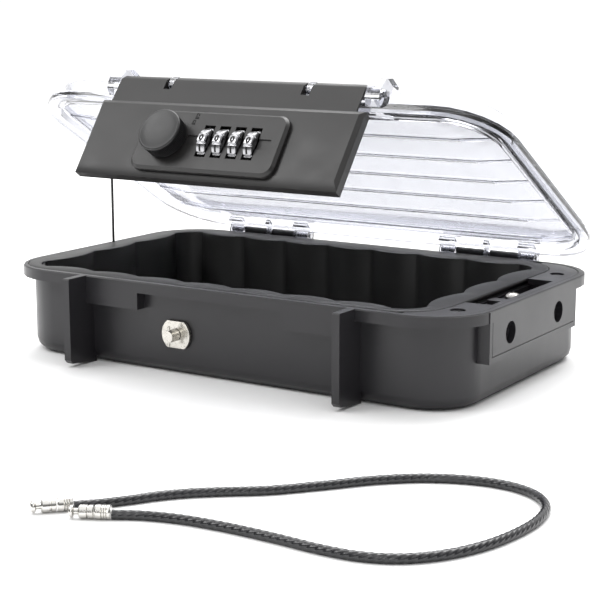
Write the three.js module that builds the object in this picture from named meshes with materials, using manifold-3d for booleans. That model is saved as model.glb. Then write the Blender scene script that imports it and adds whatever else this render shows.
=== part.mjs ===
// Portable lock box: a moulded tray with a rubber liner, a clear hinged lid held by a stay cord,
// a front latch that carries a four-wheel combination lock, and a loose security cable.
// Millimetres, +Z up, +X to the right, the latch at the front (-Y).
// The origin is the centre of the tray's rim outline, on the plane that the tray stands on.
// The lid, and the latch on it, are modelled closed and then turned open in nested groups.
import * as THREE from "three";
import { mergeVertices } from "three/addons/utils/BufferGeometryUtils.js";
import Module from "manifold-3d";

const wasm = await Module();
wasm.setup();

// ---- driving dimensions ----
const GAP = 0.3; // between pieces that touch

const RIM_W = 240; // rim outline along X
const RIM_D = 143.6; // rim outline along Y
const RIM_R = 27; // rim corner radius
const RIM_TOP = 40.4; // height of the rim's top face
const FLANGE_H = 5; // height of the rim flange
const WALL_INSET = 5; // tray wall's outer face, in from the rim
const WALL_T = 2.2;
const FLOOR_T = 2.4;
const FOOT_R = 6; // rounding of the tray's lower edge
const FOOT_STEPS = 3;
const REBATE = 2.8; // border of the rim outside the liner flange and the end cover
const CORNER_STEPS = 6;

const RIB_X = 67.9; // inner face of each front rib
const RIB_T = 3.6;
const RIB_PROUD = 11.6; // front ribs, out from the rim
const RIB_LIFT = 1.8; // how far the outer end of a rib stands off the ground
const KEEPER_H = 12.6; // deep stretch of rim that the latch hooks under
const KEEPER_LEFT = -39;
const KEEPER_RIGHT = 36;

const LINER_RIGHT = RIM_W / 2 - 26; // grooves of the liner wall, right
const LINER_LEFT = 11 - RIM_W / 2;
const LINER_FRONT = 9.5 - RIM_D / 2;
const LINER_BACK = RIM_D / 2 - 12.8;
const LINER_R = 12;
const LINER_FLOOR_T = 1.6;
const LINER_FLANGE_T = 1.1;
const LINER_FLANGE_RIGHT = RIM_W / 2 - 18.1;
const FLUTE_DEPTH = 4.4;
const FLUTES_LONG = 7;
const FLUTES_SHORT = 3;
const FLUTE_STEPS = 5;

const END_Y = -3.8; // centre of the cable end's features along Y
const END_PANEL_L = 88; // raised panel on the right end
const END_PANEL_BOTTOM = RIM_TOP - 21.8;
const END_WALL_T = 6.6; // from the raised panel's face to the compartment
const END_BAY_W = 10.2;
const END_BAY_L = 66;
const END_BAY_FLOOR = 10;
const COVER_T = 2.6;
const SLOT_W = 10.4; // opening in the end cover
const SLOT_L = 62;
// Cover screws: how far in from the rim's right edge, and from the cable end's centre.
const COVER_SCREWS = [
  [13, -47.1],
  [11.4, 48.7],
];
const COVER_SCREW_HEAD_R = 3;
const COVER_SCREW_SUNK = 0.8; // the heads sit this far under the top of the cover
const COVER_SCREW_R = 1.2;

const SOCKET_R = 4.7; // cable sockets
const SOCKET_BORE_R = 3.3;
const SOCKET_DEPTH = 3;
const SOCKET_Z = RIM_TOP - 11.9;
const SOCKET_DY = 24.4;

const SLIDE_T = 1.5;
const SLIDE_TRAVEL = 4;
const SLIDE_SCREW_R = 1.4;
const SLIDE_SCREW_HEAD_R = 3.4;

const HINGE_Y = RIM_D / 2 + 3.2;
const HINGE_Z = RIM_TOP + 0.6;
const KNUCKLE_R = 3.4;
const BASE_KNUCKLE_R = 2.1; // slimmer than the lid's, so that they stay low behind the rim
const HINGE_PIN_R = 1.3;
const PIN_BORE_R = 1.65;
const LID_KNUCKLE_W = 8.4;
const HINGE_SPANS = [
  [-89.6, -41.2],
  [35.0, 85.2],
];
const CENTRE_KNUCKLE_W = 2.4;

const LID_OPEN = 31; // degrees, the stay's stop
const LID_BOTTOM = RIM_TOP + 1.2;
const LID_LIP_H = 4.2;
const LID_LIP_W = 6.5; // rim of the lid, in from its edge to the opening
const LID_WALL_INSET = 4.5;
const LID_TOP = RIM_TOP + 13;
const PANEL_BOTTOM = RIM_TOP + 2.8;
const PANEL_T = 2;
const PANEL_SIDE_INSET = 24.5;
const PANEL_FRONT_INSET = 10.3;
const BAND_RISE = 2.4; // the band climbs outwards from the panel to the lid's wall
const PANEL_RIBS = [-47, -27, -7, 13, 33, 53];
const PANEL_RIB_W = 1.2;
const PANEL_RIB_H = 0.8;

const LATCH_PIN_Y = 0.8 - RIM_D / 2;
const LATCH_PIN_Z = RIM_TOP + 10.1;
const LATCH_PIN_R = 1.3;
const LATCH_OUT = 5; // degrees, how far the free latch stands off its closed place
const BARREL_R = 3;
const LUG_INNER_X = 63.3;
const LUG_OUTER_X = 70;
const MID_LUG_X = 35.5;
const MID_LUG_T = 3;
const BARREL_HALF = 62.8;
const PLATE_TOP_HALF = 67.3;
const PLATE_BOTTOM_HALF = 66.6;
const PLATE_TOP_Z = RIM_TOP - 2;
const PLATE_BOTTOM_Z = 1.3;
const PLATE_FRONT = -RIM_D / 2 - 5.9;
const PLATE_T = 2.5;
const PLATE_SIDE_BACK = -RIM_D / 2 - 0.5; // where the walls round the back of the plate end
const PLATE_SIDE_T = 1.8;
const PLATE_FOLD_H = 4.2; // the sloping band along the bottom edge
const HOOK_TIP = 1.7 - RIM_D / 2;
const HOOK_OUTER_X = 65.4;

const LOCK_Z = RIM_TOP - 22.1; // centre line of the lock and of the stud
const BEZEL_HALF_W = 36.5;
const BEZEL_HALF_H = 14.5;
const BEZEL_R = 5.5;
const BEZEL_PROUD = 2.7;
const BEZEL_CHAMFER = 1.2;
const BODY_HALF_W = 33.6;
const BODY_HALF_H = 11.6;
const FACE_T = 1.6; // front wall of the lock housing
const HOUSING_BACK = -RIM_D / 2 - 1.2;
const COVER_BACK = 0.6 - RIM_D / 2;

const KNOB_X = -20.6;
const KNOB_R = 10;
const KNOB_H = 7.4;
const CUP_R = 6.6;
const CUP_WALL = 1.2;
const CUP_LIP_T = 0.6;

const WHEEL_R = 7.2;
const WHEEL_W = 4.3;
const WHEEL_PITCH = 7.84;
const WHEEL_COUNT = 4;
const WHEELS_X = 10.6; // middle of the set of wheels
const WHEEL_PROUD = 3.2;
const SPINDLE_R = 1.2;

const STUD_R = 2.7;
const STUD_TIP = -RIM_D / 2 - 2.7;
const STUD_TIP_WALL = 0.25; // steel left in front of the cross pin's hole
const STUD_PLATE_R = 7.5;
const STUD_PLATE_FLAT = 6;
const STUD_PLATE_T = 1.6;
const CROSS_PIN_R = 0.6;
const PIN_GAP = 0.2; // round the cross pin
const CROSS_PIN_L = 9;

const STAY_X = 4.5 - RIM_W / 2;
const STAY_Y = 6.2;
const STAY_R = 0.65;

const CABLE_R = 1.6;
const PLUG_R = 2.4;
// Route of the cable on the table, from one ferrule to the other.
const CABLE_ROUTE = [
  [59.5, -230.1], [65.2, -223.9], [71.2, -215.8], [76.9, -207.2], [83.6, -199.7], [92.1, -192.6],
  [104, -183.4], [116.4, -169.6], [129.2, -154.3], [143.6, -142.8], [158.6, -136.9], [171.6, -136.4],
  [182.1, -140.7], [189.2, -149.2], [192.2, -160.6], [191.9, -175.7], [188, -192.9], [181, -206.5],
  [171.9, -215.6], [161.3, -220.2], [148.4, -221.4], [131.4, -220.6], [111.8, -220.6], [96, -222.3],
  [84.6, -225.6], [75.5, -230.3],
];
const CABLE_SIDES = 8;
const CABLE_STEPS = 60;

// ---- dimensions worked out from those ----
const HALF_W = RIM_W / 2;
const HALF_D = RIM_D / 2;
const WALL_IN = WALL_INSET + WALL_T;
const RIM_FRONT = -HALF_D;
const WALL_FRONT = RIM_FRONT + WALL_INSET;
const BAY_OUTER_X = HALF_W - END_WALL_T;
const BAY_INNER_X = BAY_OUTER_X - END_BAY_W;
const COVER_TOP = RIM_TOP - 0.1;
const COVER_BOTTOM = COVER_TOP - COVER_T;
const LINER_TOP = RIM_TOP + 0.1;
const LINER_FLANGE_BOTTOM = LINER_TOP - LINER_FLANGE_T;
const LINER_BOTTOM = FLOOR_T + GAP;
const BEZEL_FRONT = PLATE_FRONT - BEZEL_PROUD;
const BEZEL_BACK = PLATE_FRONT - GAP;
const WHEEL_Y = BEZEL_FRONT - WHEEL_PROUD + WHEEL_R;
const KNOB_BACK = BEZEL_FRONT - GAP - 0.1;
const CUP_FRONT = BEZEL_FRONT - 0.1;
const CROSS_PIN_Y = STUD_TIP + STUD_TIP_WALL + PIN_GAP + CROSS_PIN_R;
const CUP_BACK = CROSS_PIN_Y + CROSS_PIN_R + PIN_GAP + CUP_LIP_T;

// ---- materials ----
const paint = (color, roughness, metalness = 0, opacity = 1) =>
  new THREE.MeshStandardMaterial({ color, roughness, metalness, opacity, transparent: opacity < 1 });
const TRAY_PLASTIC = paint(0x3a393c, 0.5);
const LATCH_PLASTIC = paint(0x3c3b3a, 0.48);
const LINER_RUBBER = paint(0x232324, 0.75);
const CLEAR = paint(0xe4e4f0, 0.08, 0, 0.3);
const STEEL = paint(0xc9c7c2, 0.3, 1);
const CHROME = paint(0xd8d8da, 0.15, 1);
const CORD_BLACK = paint(0x1b1b1c, 0.6);
const CABLE_BLACK = paint(0x2b2b2e, 0.35);
const NICKEL = paint(0xd4d2cf, 0.2, 1);

// ---- solids ----
function solid(geometry) {
  const bare = geometry.index ? geometry.toNonIndexed() : geometry.clone();
  bare.deleteAttribute("normal");
  bare.deleteAttribute("uv");
  const merged = mergeVertices(bare, 1e-4);
  return new wasm.Manifold(
    new wasm.Mesh({
      numProp: 3,
      vertProperties: merged.attributes.position.array,
      triVerts: new Uint32Array(merged.index.array),
    }),
  );
}

function meshOf(name, body, material) {
  const { numProp, numVert, vertProperties, triVerts } = body.getMesh();
  const positions = new Float32Array(numVert * 3);
  for (let i = 0; i < numVert; i++) {
    positions.set(vertProperties.subarray(i * numProp, i * numProp + 3), i * 3);
  }
  const geometry = new THREE.BufferGeometry();
  geometry.setAttribute("position", new THREE.BufferAttribute(positions, 3));
  geometry.setIndex(new THREE.BufferAttribute(new Uint32Array(triVerts), 1));
  geometry.computeVertexNormals();
  const mesh = new THREE.Mesh(geometry, material);
  mesh.name = name;
  return mesh;
}

const join = (first, ...others) => others.reduce((sum, next) => sum.add(next), first);
const cut = (first, ...tools) => tools.reduce((rest, tool) => rest.subtract(tool), first);

function box([x0, x1], [y0, y1], [z0, z1]) {
  const geometry = new THREE.BoxGeometry(x1 - x0, y1 - y0, z1 - z0);
  geometry.translate((x0 + x1) / 2, (y0 + y1) / 2, (z0 + z1) / 2);
  return solid(geometry);
}

const AXES = {
  x: new THREE.Matrix4().makeBasis(
    new THREE.Vector3(0, 1, 0), new THREE.Vector3(0, 0, 1), new THREE.Vector3(1, 0, 0)),
  y: new THREE.Matrix4().makeBasis(
    new THREE.Vector3(0, 0, 1), new THREE.Vector3(1, 0, 0), new THREE.Vector3(0, 1, 0)),
  z: new THREE.Matrix4(),
};

// A shape drawn across an axis, pushed along it from one place to another. Across X the shape's
// own x and y are Y and Z; across Y they are Z and X; across Z they are X and Y.
function prism(shape, axis, from, to, curveSegments = 4) {
  const geometry = new THREE.ExtrudeGeometry(shape, {
    depth: to - from, bevelEnabled: false, curveSegments,
  });
  geometry.translate(0, 0, from);
  geometry.applyMatrix4(AXES[axis]);
  return solid(geometry);
}

// A rod along an axis: [a, b] is its centre across the axis, in the prism's order.
function rod(radius, axis, from, to, [a, b], sides = 16) {
  const geometry = new THREE.CylinderGeometry(radius, radius, to - from, sides);
  geometry.rotateX(Math.PI / 2);
  geometry.translate(a, b, (from + to) / 2);
  geometry.applyMatrix4(AXES[axis]);
  return solid(geometry);
}

const polygon = (points) => new THREE.Shape(points.map(([x, y]) => new THREE.Vector2(x, y)));

function roundedRect(x0, x1, y0, y1, r) {
  const shape = new THREE.Shape();
  shape.moveTo(x0 + r, y0);
  shape.lineTo(x1 - r, y0);
  shape.absarc(x1 - r, y0 + r, r, -Math.PI / 2, 0);
  shape.lineTo(x1, y1 - r);
  shape.absarc(x1 - r, y1 - r, r, 0, Math.PI / 2);
  shape.lineTo(x0 + r, y1);
  shape.absarc(x0 + r, y1 - r, r, Math.PI / 2, Math.PI);
  shape.lineTo(x0, y0 + r);
  shape.absarc(x0 + r, y0 + r, r, Math.PI, Math.PI * 1.5);
  return shape;
}

// One ring of a loft: a rounded rectangle at a height, anticlockwise from above.
function rectRing({ x0, x1, y0, y1, r }, z) {
  const corners = [
    [x1 - r, y0 + r, -Math.PI / 2], [x1 - r, y1 - r, 0], [x0 + r, y1 - r, Math.PI / 2],
    [x0 + r, y0 + r, Math.PI],
  ];
  return corners.flatMap(([cx, cy, start]) =>
    Array.from({ length: CORNER_STEPS + 1 }, (_, i) => {
      const turn = start + (Math.PI / 2) * (i / CORNER_STEPS);
      return [cx + r * Math.cos(turn), cy + r * Math.sin(turn), z];
    }));
}

// The rim outline drawn in by an inset, or by one inset at the ends and one at the front and back.
function rimOutline(inset, insetY = inset) {
  return {
    x0: -HALF_W + inset, x1: HALF_W - inset, y0: -HALF_D + insetY, y1: HALF_D - insetY,
    r: Math.max(RIM_R - Math.max(inset, insetY) * 0.9, 2),
  };
}

// Rings of equal length joined one to the next, closed by a fan over the first and the last.
function loft(rings) {
  const count = rings[0].length;
  const positions = rings.flat(2);
  const index = [];
  for (let k = 0; k + 1 < rings.length; k++) {
    for (let i = 0; i < count; i++) {
      const j = (i + 1) % count;
      const [a, b, c, d] = [k * count + i, k * count + j, (k + 1) * count + j, (k + 1) * count + i];
      index.push(a, b, c, a, c, d);
    }
  }
  [rings[0], rings[rings.length - 1]].forEach((ring, end) => {
    const centre = positions.length / 3;
    const x = ring.reduce((sum, p) => sum + p[0], 0) / count;
    const y = ring.reduce((sum, p) => sum + p[1], 0) / count;
    positions.push(x, y, ring[0][2]);
    const first = end * (rings.length - 1) * count;
    for (let i = 0; i < count; i++) {
      const j = (i + 1) % count;
      index.push(centre, first + (end ? i : j), first + (end ? j : i));
    }
  });
  const geometry = new THREE.BufferGeometry();
  geometry.setAttribute("position", new THREE.Float32BufferAttribute(positions, 3));
  geometry.setIndex(index);
  return solid(geometry);
}

const rectPrism = (outline, z0, z1) => loft([rectRing(outline, z0), rectRing(outline, z1)]);

// ---- tray ----
const LINER_POCKET = {
  x0: -HALF_W + WALL_IN, x1: BAY_INNER_X - 3.2, y0: -HALF_D + WALL_IN, y1: HALF_D - WALL_IN,
  r: RIM_R - WALL_IN,
};
const LINER_FLANGE = {
  ...rimOutline(REBATE + GAP), x1: LINER_FLANGE_RIGHT, r: 22,
};
const END_FRONT = END_Y - END_PANEL_L / 2;
const END_BACK = END_Y + END_PANEL_L / 2;
const BAY = [END_Y - END_BAY_L / 2, END_Y + END_BAY_L / 2];

const grow = ({ x0, x1, y0, y1, r }, by) => (
  { x0: x0 - by, x1: x1 + by, y0: y0 - by, y1: y1 + by, r: r + by });

function trayShell() {
  const rings = [];
  for (let i = 0; i <= FOOT_STEPS; i++) {
    const turn = (Math.PI / 2) * (i / FOOT_STEPS);
    const inset = WALL_INSET + FOOT_R * (1 - Math.sin(turn));
    rings.push(rectRing(rimOutline(inset), FOOT_R * (1 - Math.cos(turn))));
  }
  rings.push(rectRing(rimOutline(WALL_INSET), RIM_TOP - FLANGE_H));
  rings.push(rectRing(rimOutline(0), RIM_TOP - FLANGE_H));
  rings.push(rectRing(rimOutline(0), RIM_TOP - 0.5));
  rings.push(rectRing(rimOutline(0.5), RIM_TOP));
  return loft(rings);
}

function frontRib(side) {
  const profile = polygon([
    [WALL_FRONT + 1, 0], [RIM_FRONT - RIB_PROUD + 1.6, RIB_LIFT], [RIM_FRONT - RIB_PROUD, RIB_LIFT + 1.6],
    [RIM_FRONT - RIB_PROUD, RIM_TOP - 0.6], [RIM_FRONT - RIB_PROUD + 0.6, RIM_TOP],
    [RIM_FRONT + 1.5, RIM_TOP], [RIM_FRONT + 1.5, RIM_TOP - FLANGE_H], [WALL_FRONT + 1, RIM_TOP - FLANGE_H],
  ]);
  const from = side < 0 ? -RIB_X - RIB_T : RIB_X;
  return prism(profile, "x", from, from + RIB_T);
}

const keeper = (x0, x1) =>
  box([x0, x1], [RIM_FRONT, WALL_FRONT + 1], [RIM_TOP - KEEPER_H, RIM_TOP - 0.5]);

function endPanel() {
  const body = box([HALF_W - 7, HALF_W], [END_FRONT, END_BACK], [END_PANEL_BOTTOM, RIM_TOP - 0.5]);
  const line = 0.35;
  const margin = 2.4;
  const frame = [END_FRONT + margin, END_BACK - margin];
  const groove = box([HALF_W - line, HALF_W + 1], [frame[0], frame[0] + line],
    [END_PANEL_BOTTOM + margin, RIM_TOP - FLANGE_H]);
  const lower = box([HALF_W - line, HALF_W + 1], frame,
    [END_PANEL_BOTTOM + margin, END_PANEL_BOTTOM + margin + line]);
  return cut(body, groove, lower);
}

function hingeRanges() {
  return HINGE_SPANS.map(([x0, x1]) => {
    const middle = (x0 + x1) / 2;
    const half = CENTRE_KNUCKLE_W / 2;
    return {
      lid: [[x0, x0 + LID_KNUCKLE_W], [middle - half, middle + half], [x1 - LID_KNUCKLE_W, x1]],
      base: [
        [x0 + LID_KNUCKLE_W + GAP, middle - half - GAP],
        [middle + half + GAP, x1 - LID_KNUCKLE_W - GAP],
      ],
    };
  });
}

function baseKnuckle([x0, x1]) {
  const arm = polygon([
    [HALF_D - 2, RIM_TOP - FLANGE_H], [HINGE_Y, HINGE_Z - BASE_KNUCKLE_R + 0.2], [HINGE_Y, HINGE_Z - 0.8],
    [HALF_D - 2, HINGE_Z - 0.8],
  ]);
  const barrel = rod(BASE_KNUCKLE_R, "x", x0, x1, [HINGE_Y, HINGE_Z]);
  return join(barrel, prism(arm, "x", x0, x1));
}

const knuckleRelief = ([x0, x1]) =>
  rod(KNUCKLE_R + 0.5, "x", x0 - GAP, x1 + GAP, [HINGE_Y, HINGE_Z]);

const socketYs = [END_Y - SOCKET_DY, END_Y + SOCKET_DY];
const coverScrews = COVER_SCREWS.map(([inset, along]) => [HALF_W - inset, END_Y + along]);
const slideScrewX = BAY_INNER_X + 5.6;
const slideScrewY = END_Y + 1.3;
const postR = SLIDE_SCREW_R + 1;

function endBay() {
  const hollow = box([BAY_INNER_X, BAY_OUTER_X], BAY, [END_BAY_FLOOR, RIM_TOP]);
  const post = rod(postR, "z", END_BAY_FLOOR - 1, RIM_TOP - 5.3, [slideScrewX, slideScrewY]);
  return cut(hollow, post);
}

function traySockets() {
  return socketYs.flatMap((y) => [
    rod(SOCKET_R, "x", HALF_W - SOCKET_DEPTH, HALF_W + 1, [y, SOCKET_Z], 24),
    rod(SOCKET_BORE_R, "x", BAY_OUTER_X - 1, HALF_W, [y, SOCKET_Z]),
  ]);
}

function makeTray() {
  const ranges = hingeRanges();
  const outer = join(
    trayShell(), frontRib(-1), frontRib(1), keeper(-RIB_X - 1, KEEPER_LEFT),
    keeper(KEEPER_RIGHT, RIB_X + 1), endPanel(),
    ...ranges.flatMap((r) => r.base.map(baseKnuckle)),
  );
  const coverSeat = cut(
    rectPrism(rimOutline(REBATE), COVER_BOTTOM - GAP, RIM_TOP + 1),
    box([-HALF_W, BAY_INNER_X - 22], [-HALF_D, HALF_D], [0, RIM_TOP + 2]),
  );
  const linerSeat = rectPrism(grow(LINER_FLANGE, GAP), LINER_FLANGE_BOTTOM - GAP, RIM_TOP + 1);
  const stayHole = rod(2.4, "z", RIM_TOP - 2.4, RIM_TOP + 1, [STAY_X, STAY_Y]);
  return cut(
    outer, rectPrism(LINER_POCKET, FLOOR_T, RIM_TOP + 1), linerSeat, coverSeat, endBay(),
    ...traySockets(), stayHole,
    ...coverScrews.map(([x, y]) => rod(COVER_SCREW_R + GAP, "z", COVER_BOTTOM - 8, RIM_TOP, [x, y])),
    rod(SLIDE_SCREW_R + GAP, "z", 26, RIM_TOP, [slideScrewX, slideScrewY]),
    rod(2.1, "y", -HALF_D, WALL_FRONT + WALL_T + 1, [LOCK_Z, KNOB_X]),
    ...ranges.flatMap((r) => r.lid.map(knuckleRelief)),
    ...HINGE_SPANS.map(([x0, x1]) => rod(PIN_BORE_R, "x", x0 - 1, x1 + 1, [HINGE_Y, HINGE_Z], 12)),
  );
}

// ---- liner ----
// The liner's hollow: straight grooves with a lobe standing in between each pair, and round corners.
function fluteRing(z, inset) {
  const [x0, x1, y0, y1] = [LINER_LEFT + inset, LINER_RIGHT - inset, LINER_FRONT + inset, LINER_BACK - inset];
  const r = LINER_R;
  const sides = [
    { from: [x0 + r, y0], along: [1, 0], inward: [0, 1], length: x1 - x0 - 2 * r, lobes: FLUTES_LONG },
    { from: [x1, y0 + r], along: [0, 1], inward: [-1, 0], length: y1 - y0 - 2 * r, lobes: FLUTES_SHORT },
    { from: [x1 - r, y1], along: [-1, 0], inward: [0, -1], length: x1 - x0 - 2 * r, lobes: FLUTES_LONG },
    { from: [x0, y1 - r], along: [0, -1], inward: [1, 0], length: y1 - y0 - 2 * r, lobes: FLUTES_SHORT },
  ];
  return sides.flatMap(({ from, along, inward, length, lobes }) => {
    const steps = lobes * FLUTE_STEPS;
    const wall = Array.from({ length: steps + 1 }, (_, i) => {
      const s = (length * i) / steps;
      const lobe = FLUTE_DEPTH * Math.abs(Math.sin((Math.PI * i) / FLUTE_STEPS)) ** 0.65;
      return [0, 1].map((k) => from[k] + along[k] * s + inward[k] * lobe).concat(z);
    });
    const end = [0, 1].map((k) => from[k] + along[k] * length);
    const centre = [0, 1].map((k) => end[k] + inward[k] * r);
    const corner = Array.from({ length: 4 }, (_, i) => {
      const turn = (Math.PI / 2) * ((i + 1) / 5);
      return [0, 1].map((k) => centre[k] + r * (along[k] * Math.sin(turn) - inward[k] * Math.cos(turn))).concat(z);
    });
    return wall.concat(corner);
  });
}

function makeLiner() {
  const body = rectPrism(grow(LINER_POCKET, -GAP), LINER_BOTTOM, LINER_TOP - 0.2);
  const flange = rectPrism(LINER_FLANGE, LINER_FLANGE_BOTTOM, LINER_TOP);
  const floor = LINER_BOTTOM + LINER_FLOOR_T;
  const hollow = loft([fluteRing(floor, 2.2), fluteRing(floor + 2, 0.7), fluteRing(LINER_TOP + 1, 0)]);
  const stayHole = rod(2.4, "z", LINER_FLANGE_BOTTOM - 1, LINER_TOP + 1, [STAY_X, STAY_Y]);
  return cut(join(body, flange), hollow, stayHole);
}

// ---- cable end ----
const slotSpan = [END_Y - SLOT_L / 2, END_Y + SLOT_L / 2];

function makeEndCover() {
  const plate = rectPrism(rimOutline(REBATE + GAP), COVER_BOTTOM, COVER_TOP);
  const x0 = BAY_INNER_X + 0.4;
  return cut(
    plate, rectPrism(grow(LINER_FLANGE, GAP), 0, RIM_TOP + 1),
    box([-HALF_W, BAY_INNER_X - 12], [-HALF_D, HALF_D], [0, RIM_TOP + 2]),
    box([x0 - 3, x0 + SLOT_W], slotSpan, [0, RIM_TOP + 1]),
    ...coverScrews.flatMap(([x, y]) => [
      rod(COVER_SCREW_HEAD_R + GAP, "z", COVER_BOTTOM + 0.7, RIM_TOP + 1, [x, y]),
      rod(COVER_SCREW_R + GAP, "z", 0, RIM_TOP + 1, [x, y]),
    ]),
  );
}

function countersunkScrew([x, y]) {
  const seat = COVER_BOTTOM + 0.7 + GAP;
  const shank = rod(COVER_SCREW_R, "z", seat - 7, seat + 0.1, [x, y], 16);
  const head = rod(COVER_SCREW_HEAD_R, "z", seat, COVER_TOP - COVER_SCREW_SUNK, [x, y], 20);
  const drive = join(
    box([x - 1.5, x + 1.5], [y - 0.3, y + 0.3], [COVER_TOP - COVER_SCREW_SUNK - 0.5, RIM_TOP]),
    box([x - 0.3, x + 0.3], [y - 1.5, y + 1.5], [COVER_TOP - COVER_SCREW_SUNK - 0.5, RIM_TOP]),
  );
  return cut(join(shank, head), drive);
}

const slideTop = RIM_TOP - 3.4;

function makeSlide() {
  const x1 = BAY_OUTER_X - 0.5;
  const x0 = x1 - SLIDE_T;
  const [y0, y1] = [BAY[0] + 0.3, BAY[1] - 0.3 - SLIDE_TRAVEL];
  const upright = box([x0, x1], [y0, y1], [21.5, slideTop]);
  const flange = box([BAY_INNER_X + 0.8, x1], [END_Y - 17, END_Y + 12], [slideTop - SLIDE_T, slideTop]);
  const tab = box([BAY_INNER_X + 1.6, x0 + 0.4], [END_Y - 15.5, END_Y - 9.5], [slideTop - 0.5, slideTop + 1.8]);
  const half = SLIDE_SCREW_R + GAP + 0.1;
  const slot = roundedRect(slideScrewX - half, slideScrewX + half, slideScrewY - SLIDE_TRAVEL - half,
    slideScrewY + half, half - 0.01);
  const keyholes = socketYs.flatMap((y) => [
    rod(3.05, "x", x0 - 1, x1 + 1, [y - SLIDE_TRAVEL, SOCKET_Z]),
    box([x0 - 1, x1 + 1], [y - SLIDE_TRAVEL, y + 1], [SOCKET_Z - 1.3, SOCKET_Z + 1.3]),
  ]);
  return cut(join(upright, flange, tab), prism(slot, "z", 30, RIM_TOP), ...keyholes);
}

function makeSlideScrew() {
  const under = slideTop + GAP;
  const head = SLIDE_SCREW_HEAD_R;
  const profile = [
    [0, under - 8.6], [SLIDE_SCREW_R, under - 8.6], [SLIDE_SCREW_R, under], [head, under],
    [head, under + 0.7], [head * 0.8, under + 1.6], [head * 0.45, under + 2.1], [0, under + 2.3],
  ];
  const geometry = new THREE.LatheGeometry(profile.map(([x, y]) => new THREE.Vector2(x, y)), 24);
  geometry.rotateX(Math.PI / 2);
  geometry.translate(slideScrewX, slideScrewY, 0);
  const drive = [[1.5, 0.35], [0.35, 1.5]].map(([a, b]) =>
    box([slideScrewX - a, slideScrewX + a], [slideScrewY - b, slideScrewY + b], [under + 1.1, under + 3]));
  return cut(solid(geometry), ...drive);
}

// ---- stud ----
function makeStudPlate() {
  const disc = rod(STUD_PLATE_R, "y", WALL_FRONT - GAP - STUD_PLATE_T, WALL_FRONT - GAP, [LOCK_Z, KNOB_X], 36);
  const flats = [-1, 1].map((side) => {
    const edges = [LOCK_Z + side * STUD_PLATE_FLAT, LOCK_Z + side * 12].sort((a, b) => a - b);
    return box([KNOB_X - 10, KNOB_X + 10], [WALL_FRONT - 4, WALL_FRONT], edges);
  });
  return cut(disc, ...flats, rod(2.1, "y", WALL_FRONT - 5, WALL_FRONT + 1, [LOCK_Z, KNOB_X]));
}

function makeStud() {
  const shoulder = WALL_FRONT - GAP - STUD_PLATE_T - GAP;
  const shank = rod(1.8, "y", shoulder - 0.1, WALL_FRONT + WALL_T - 0.1, [LOCK_Z, KNOB_X], 20);
  const head = rod(STUD_R, "y", STUD_TIP, shoulder, [LOCK_Z, KNOB_X], 28);
  return cut(join(shank, head),
    rod(CROSS_PIN_R + PIN_GAP, "z", LOCK_Z - 6, LOCK_Z + 6, [KNOB_X, CROSS_PIN_Y], 16));
}

const makeCrossPin = () =>
  rod(CROSS_PIN_R, "z", LOCK_Z - CROSS_PIN_L / 2, LOCK_Z + CROSS_PIN_L / 2, [KNOB_X, CROSS_PIN_Y], 14);

// ---- lid ----
function lidDish() {
  const edge = rimOutline(0);
  const inner = rimOutline(LID_LIP_W);
  const wall = rimOutline(LID_WALL_INSET);
  const panel = rimOutline(PANEL_SIDE_INSET, PANEL_FRONT_INSET);
  const panelLow = { ...panel, r: RIM_R };
  const bandOuter = rimOutline(LID_LIP_W);
  const lipTop = LID_BOTTOM + LID_LIP_H;
  const band = PANEL_BOTTOM + BAND_RISE;
  return loft([
    rectRing(panelLow, PANEL_BOTTOM), rectRing(bandOuter, band - 0.6),
    rectRing(inner, LID_BOTTOM), rectRing(edge, LID_BOTTOM), rectRing(edge, lipTop),
    rectRing(wall, lipTop), rectRing(rimOutline(LID_WALL_INSET + 0.2), LID_TOP - 0.5),
    rectRing(rimOutline(LID_WALL_INSET + 0.6), LID_TOP), rectRing(rimOutline(LID_LIP_W + 0.1), LID_TOP),
    rectRing(rimOutline(LID_LIP_W + 0.5), band + PANEL_T), rectRing(panelLow, PANEL_BOTTOM + PANEL_T),
  ]);
}

// A rib under the panel, which climbs with the side bands.
function panelRib(y) {
  const edge = HALF_W - PANEL_SIDE_INSET;
  const end = HALF_W - LID_LIP_W - 2;
  const low = PANEL_BOTTOM - PANEL_RIB_H;
  const half = [[0, low], [edge, low], [end, low + BAND_RISE - 0.7]];
  const over = ([x, z]) => [x, z + PANEL_RIB_H + 0.5];
  const mirrored = ([x, z]) => [-x, z];
  const under = [...half.slice(1).reverse().map(mirrored), ...half];
  const shape = polygon([...under, ...under.map(over).reverse()].map(([x, z]) => [z, x]).reverse());
  return prism(shape, "y", y - PANEL_RIB_W / 2, y + PANEL_RIB_W / 2);
}

function latchLug(x0, x1) {
  const root = RIM_FRONT + LID_WALL_INSET + 1;
  const shape = polygon([
    [root, LATCH_PIN_Z - 6], [LATCH_PIN_Y - 1.5, LATCH_PIN_Z - 6.6], [LATCH_PIN_Y - 4.3, LATCH_PIN_Z - 4],
    [LATCH_PIN_Y - 4.6, LATCH_PIN_Z + 1], [LATCH_PIN_Y - 3, LATCH_PIN_Z + 5], [LATCH_PIN_Y + 2, LATCH_PIN_Z + 8],
    [LATCH_PIN_Y + 8.5, LATCH_PIN_Z + 7.2], [LATCH_PIN_Y + 8.5, LATCH_PIN_Z + 2.4], [root, LATCH_PIN_Z + 2],
  ]);
  return prism(shape, "x", x0, x1);
}

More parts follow.
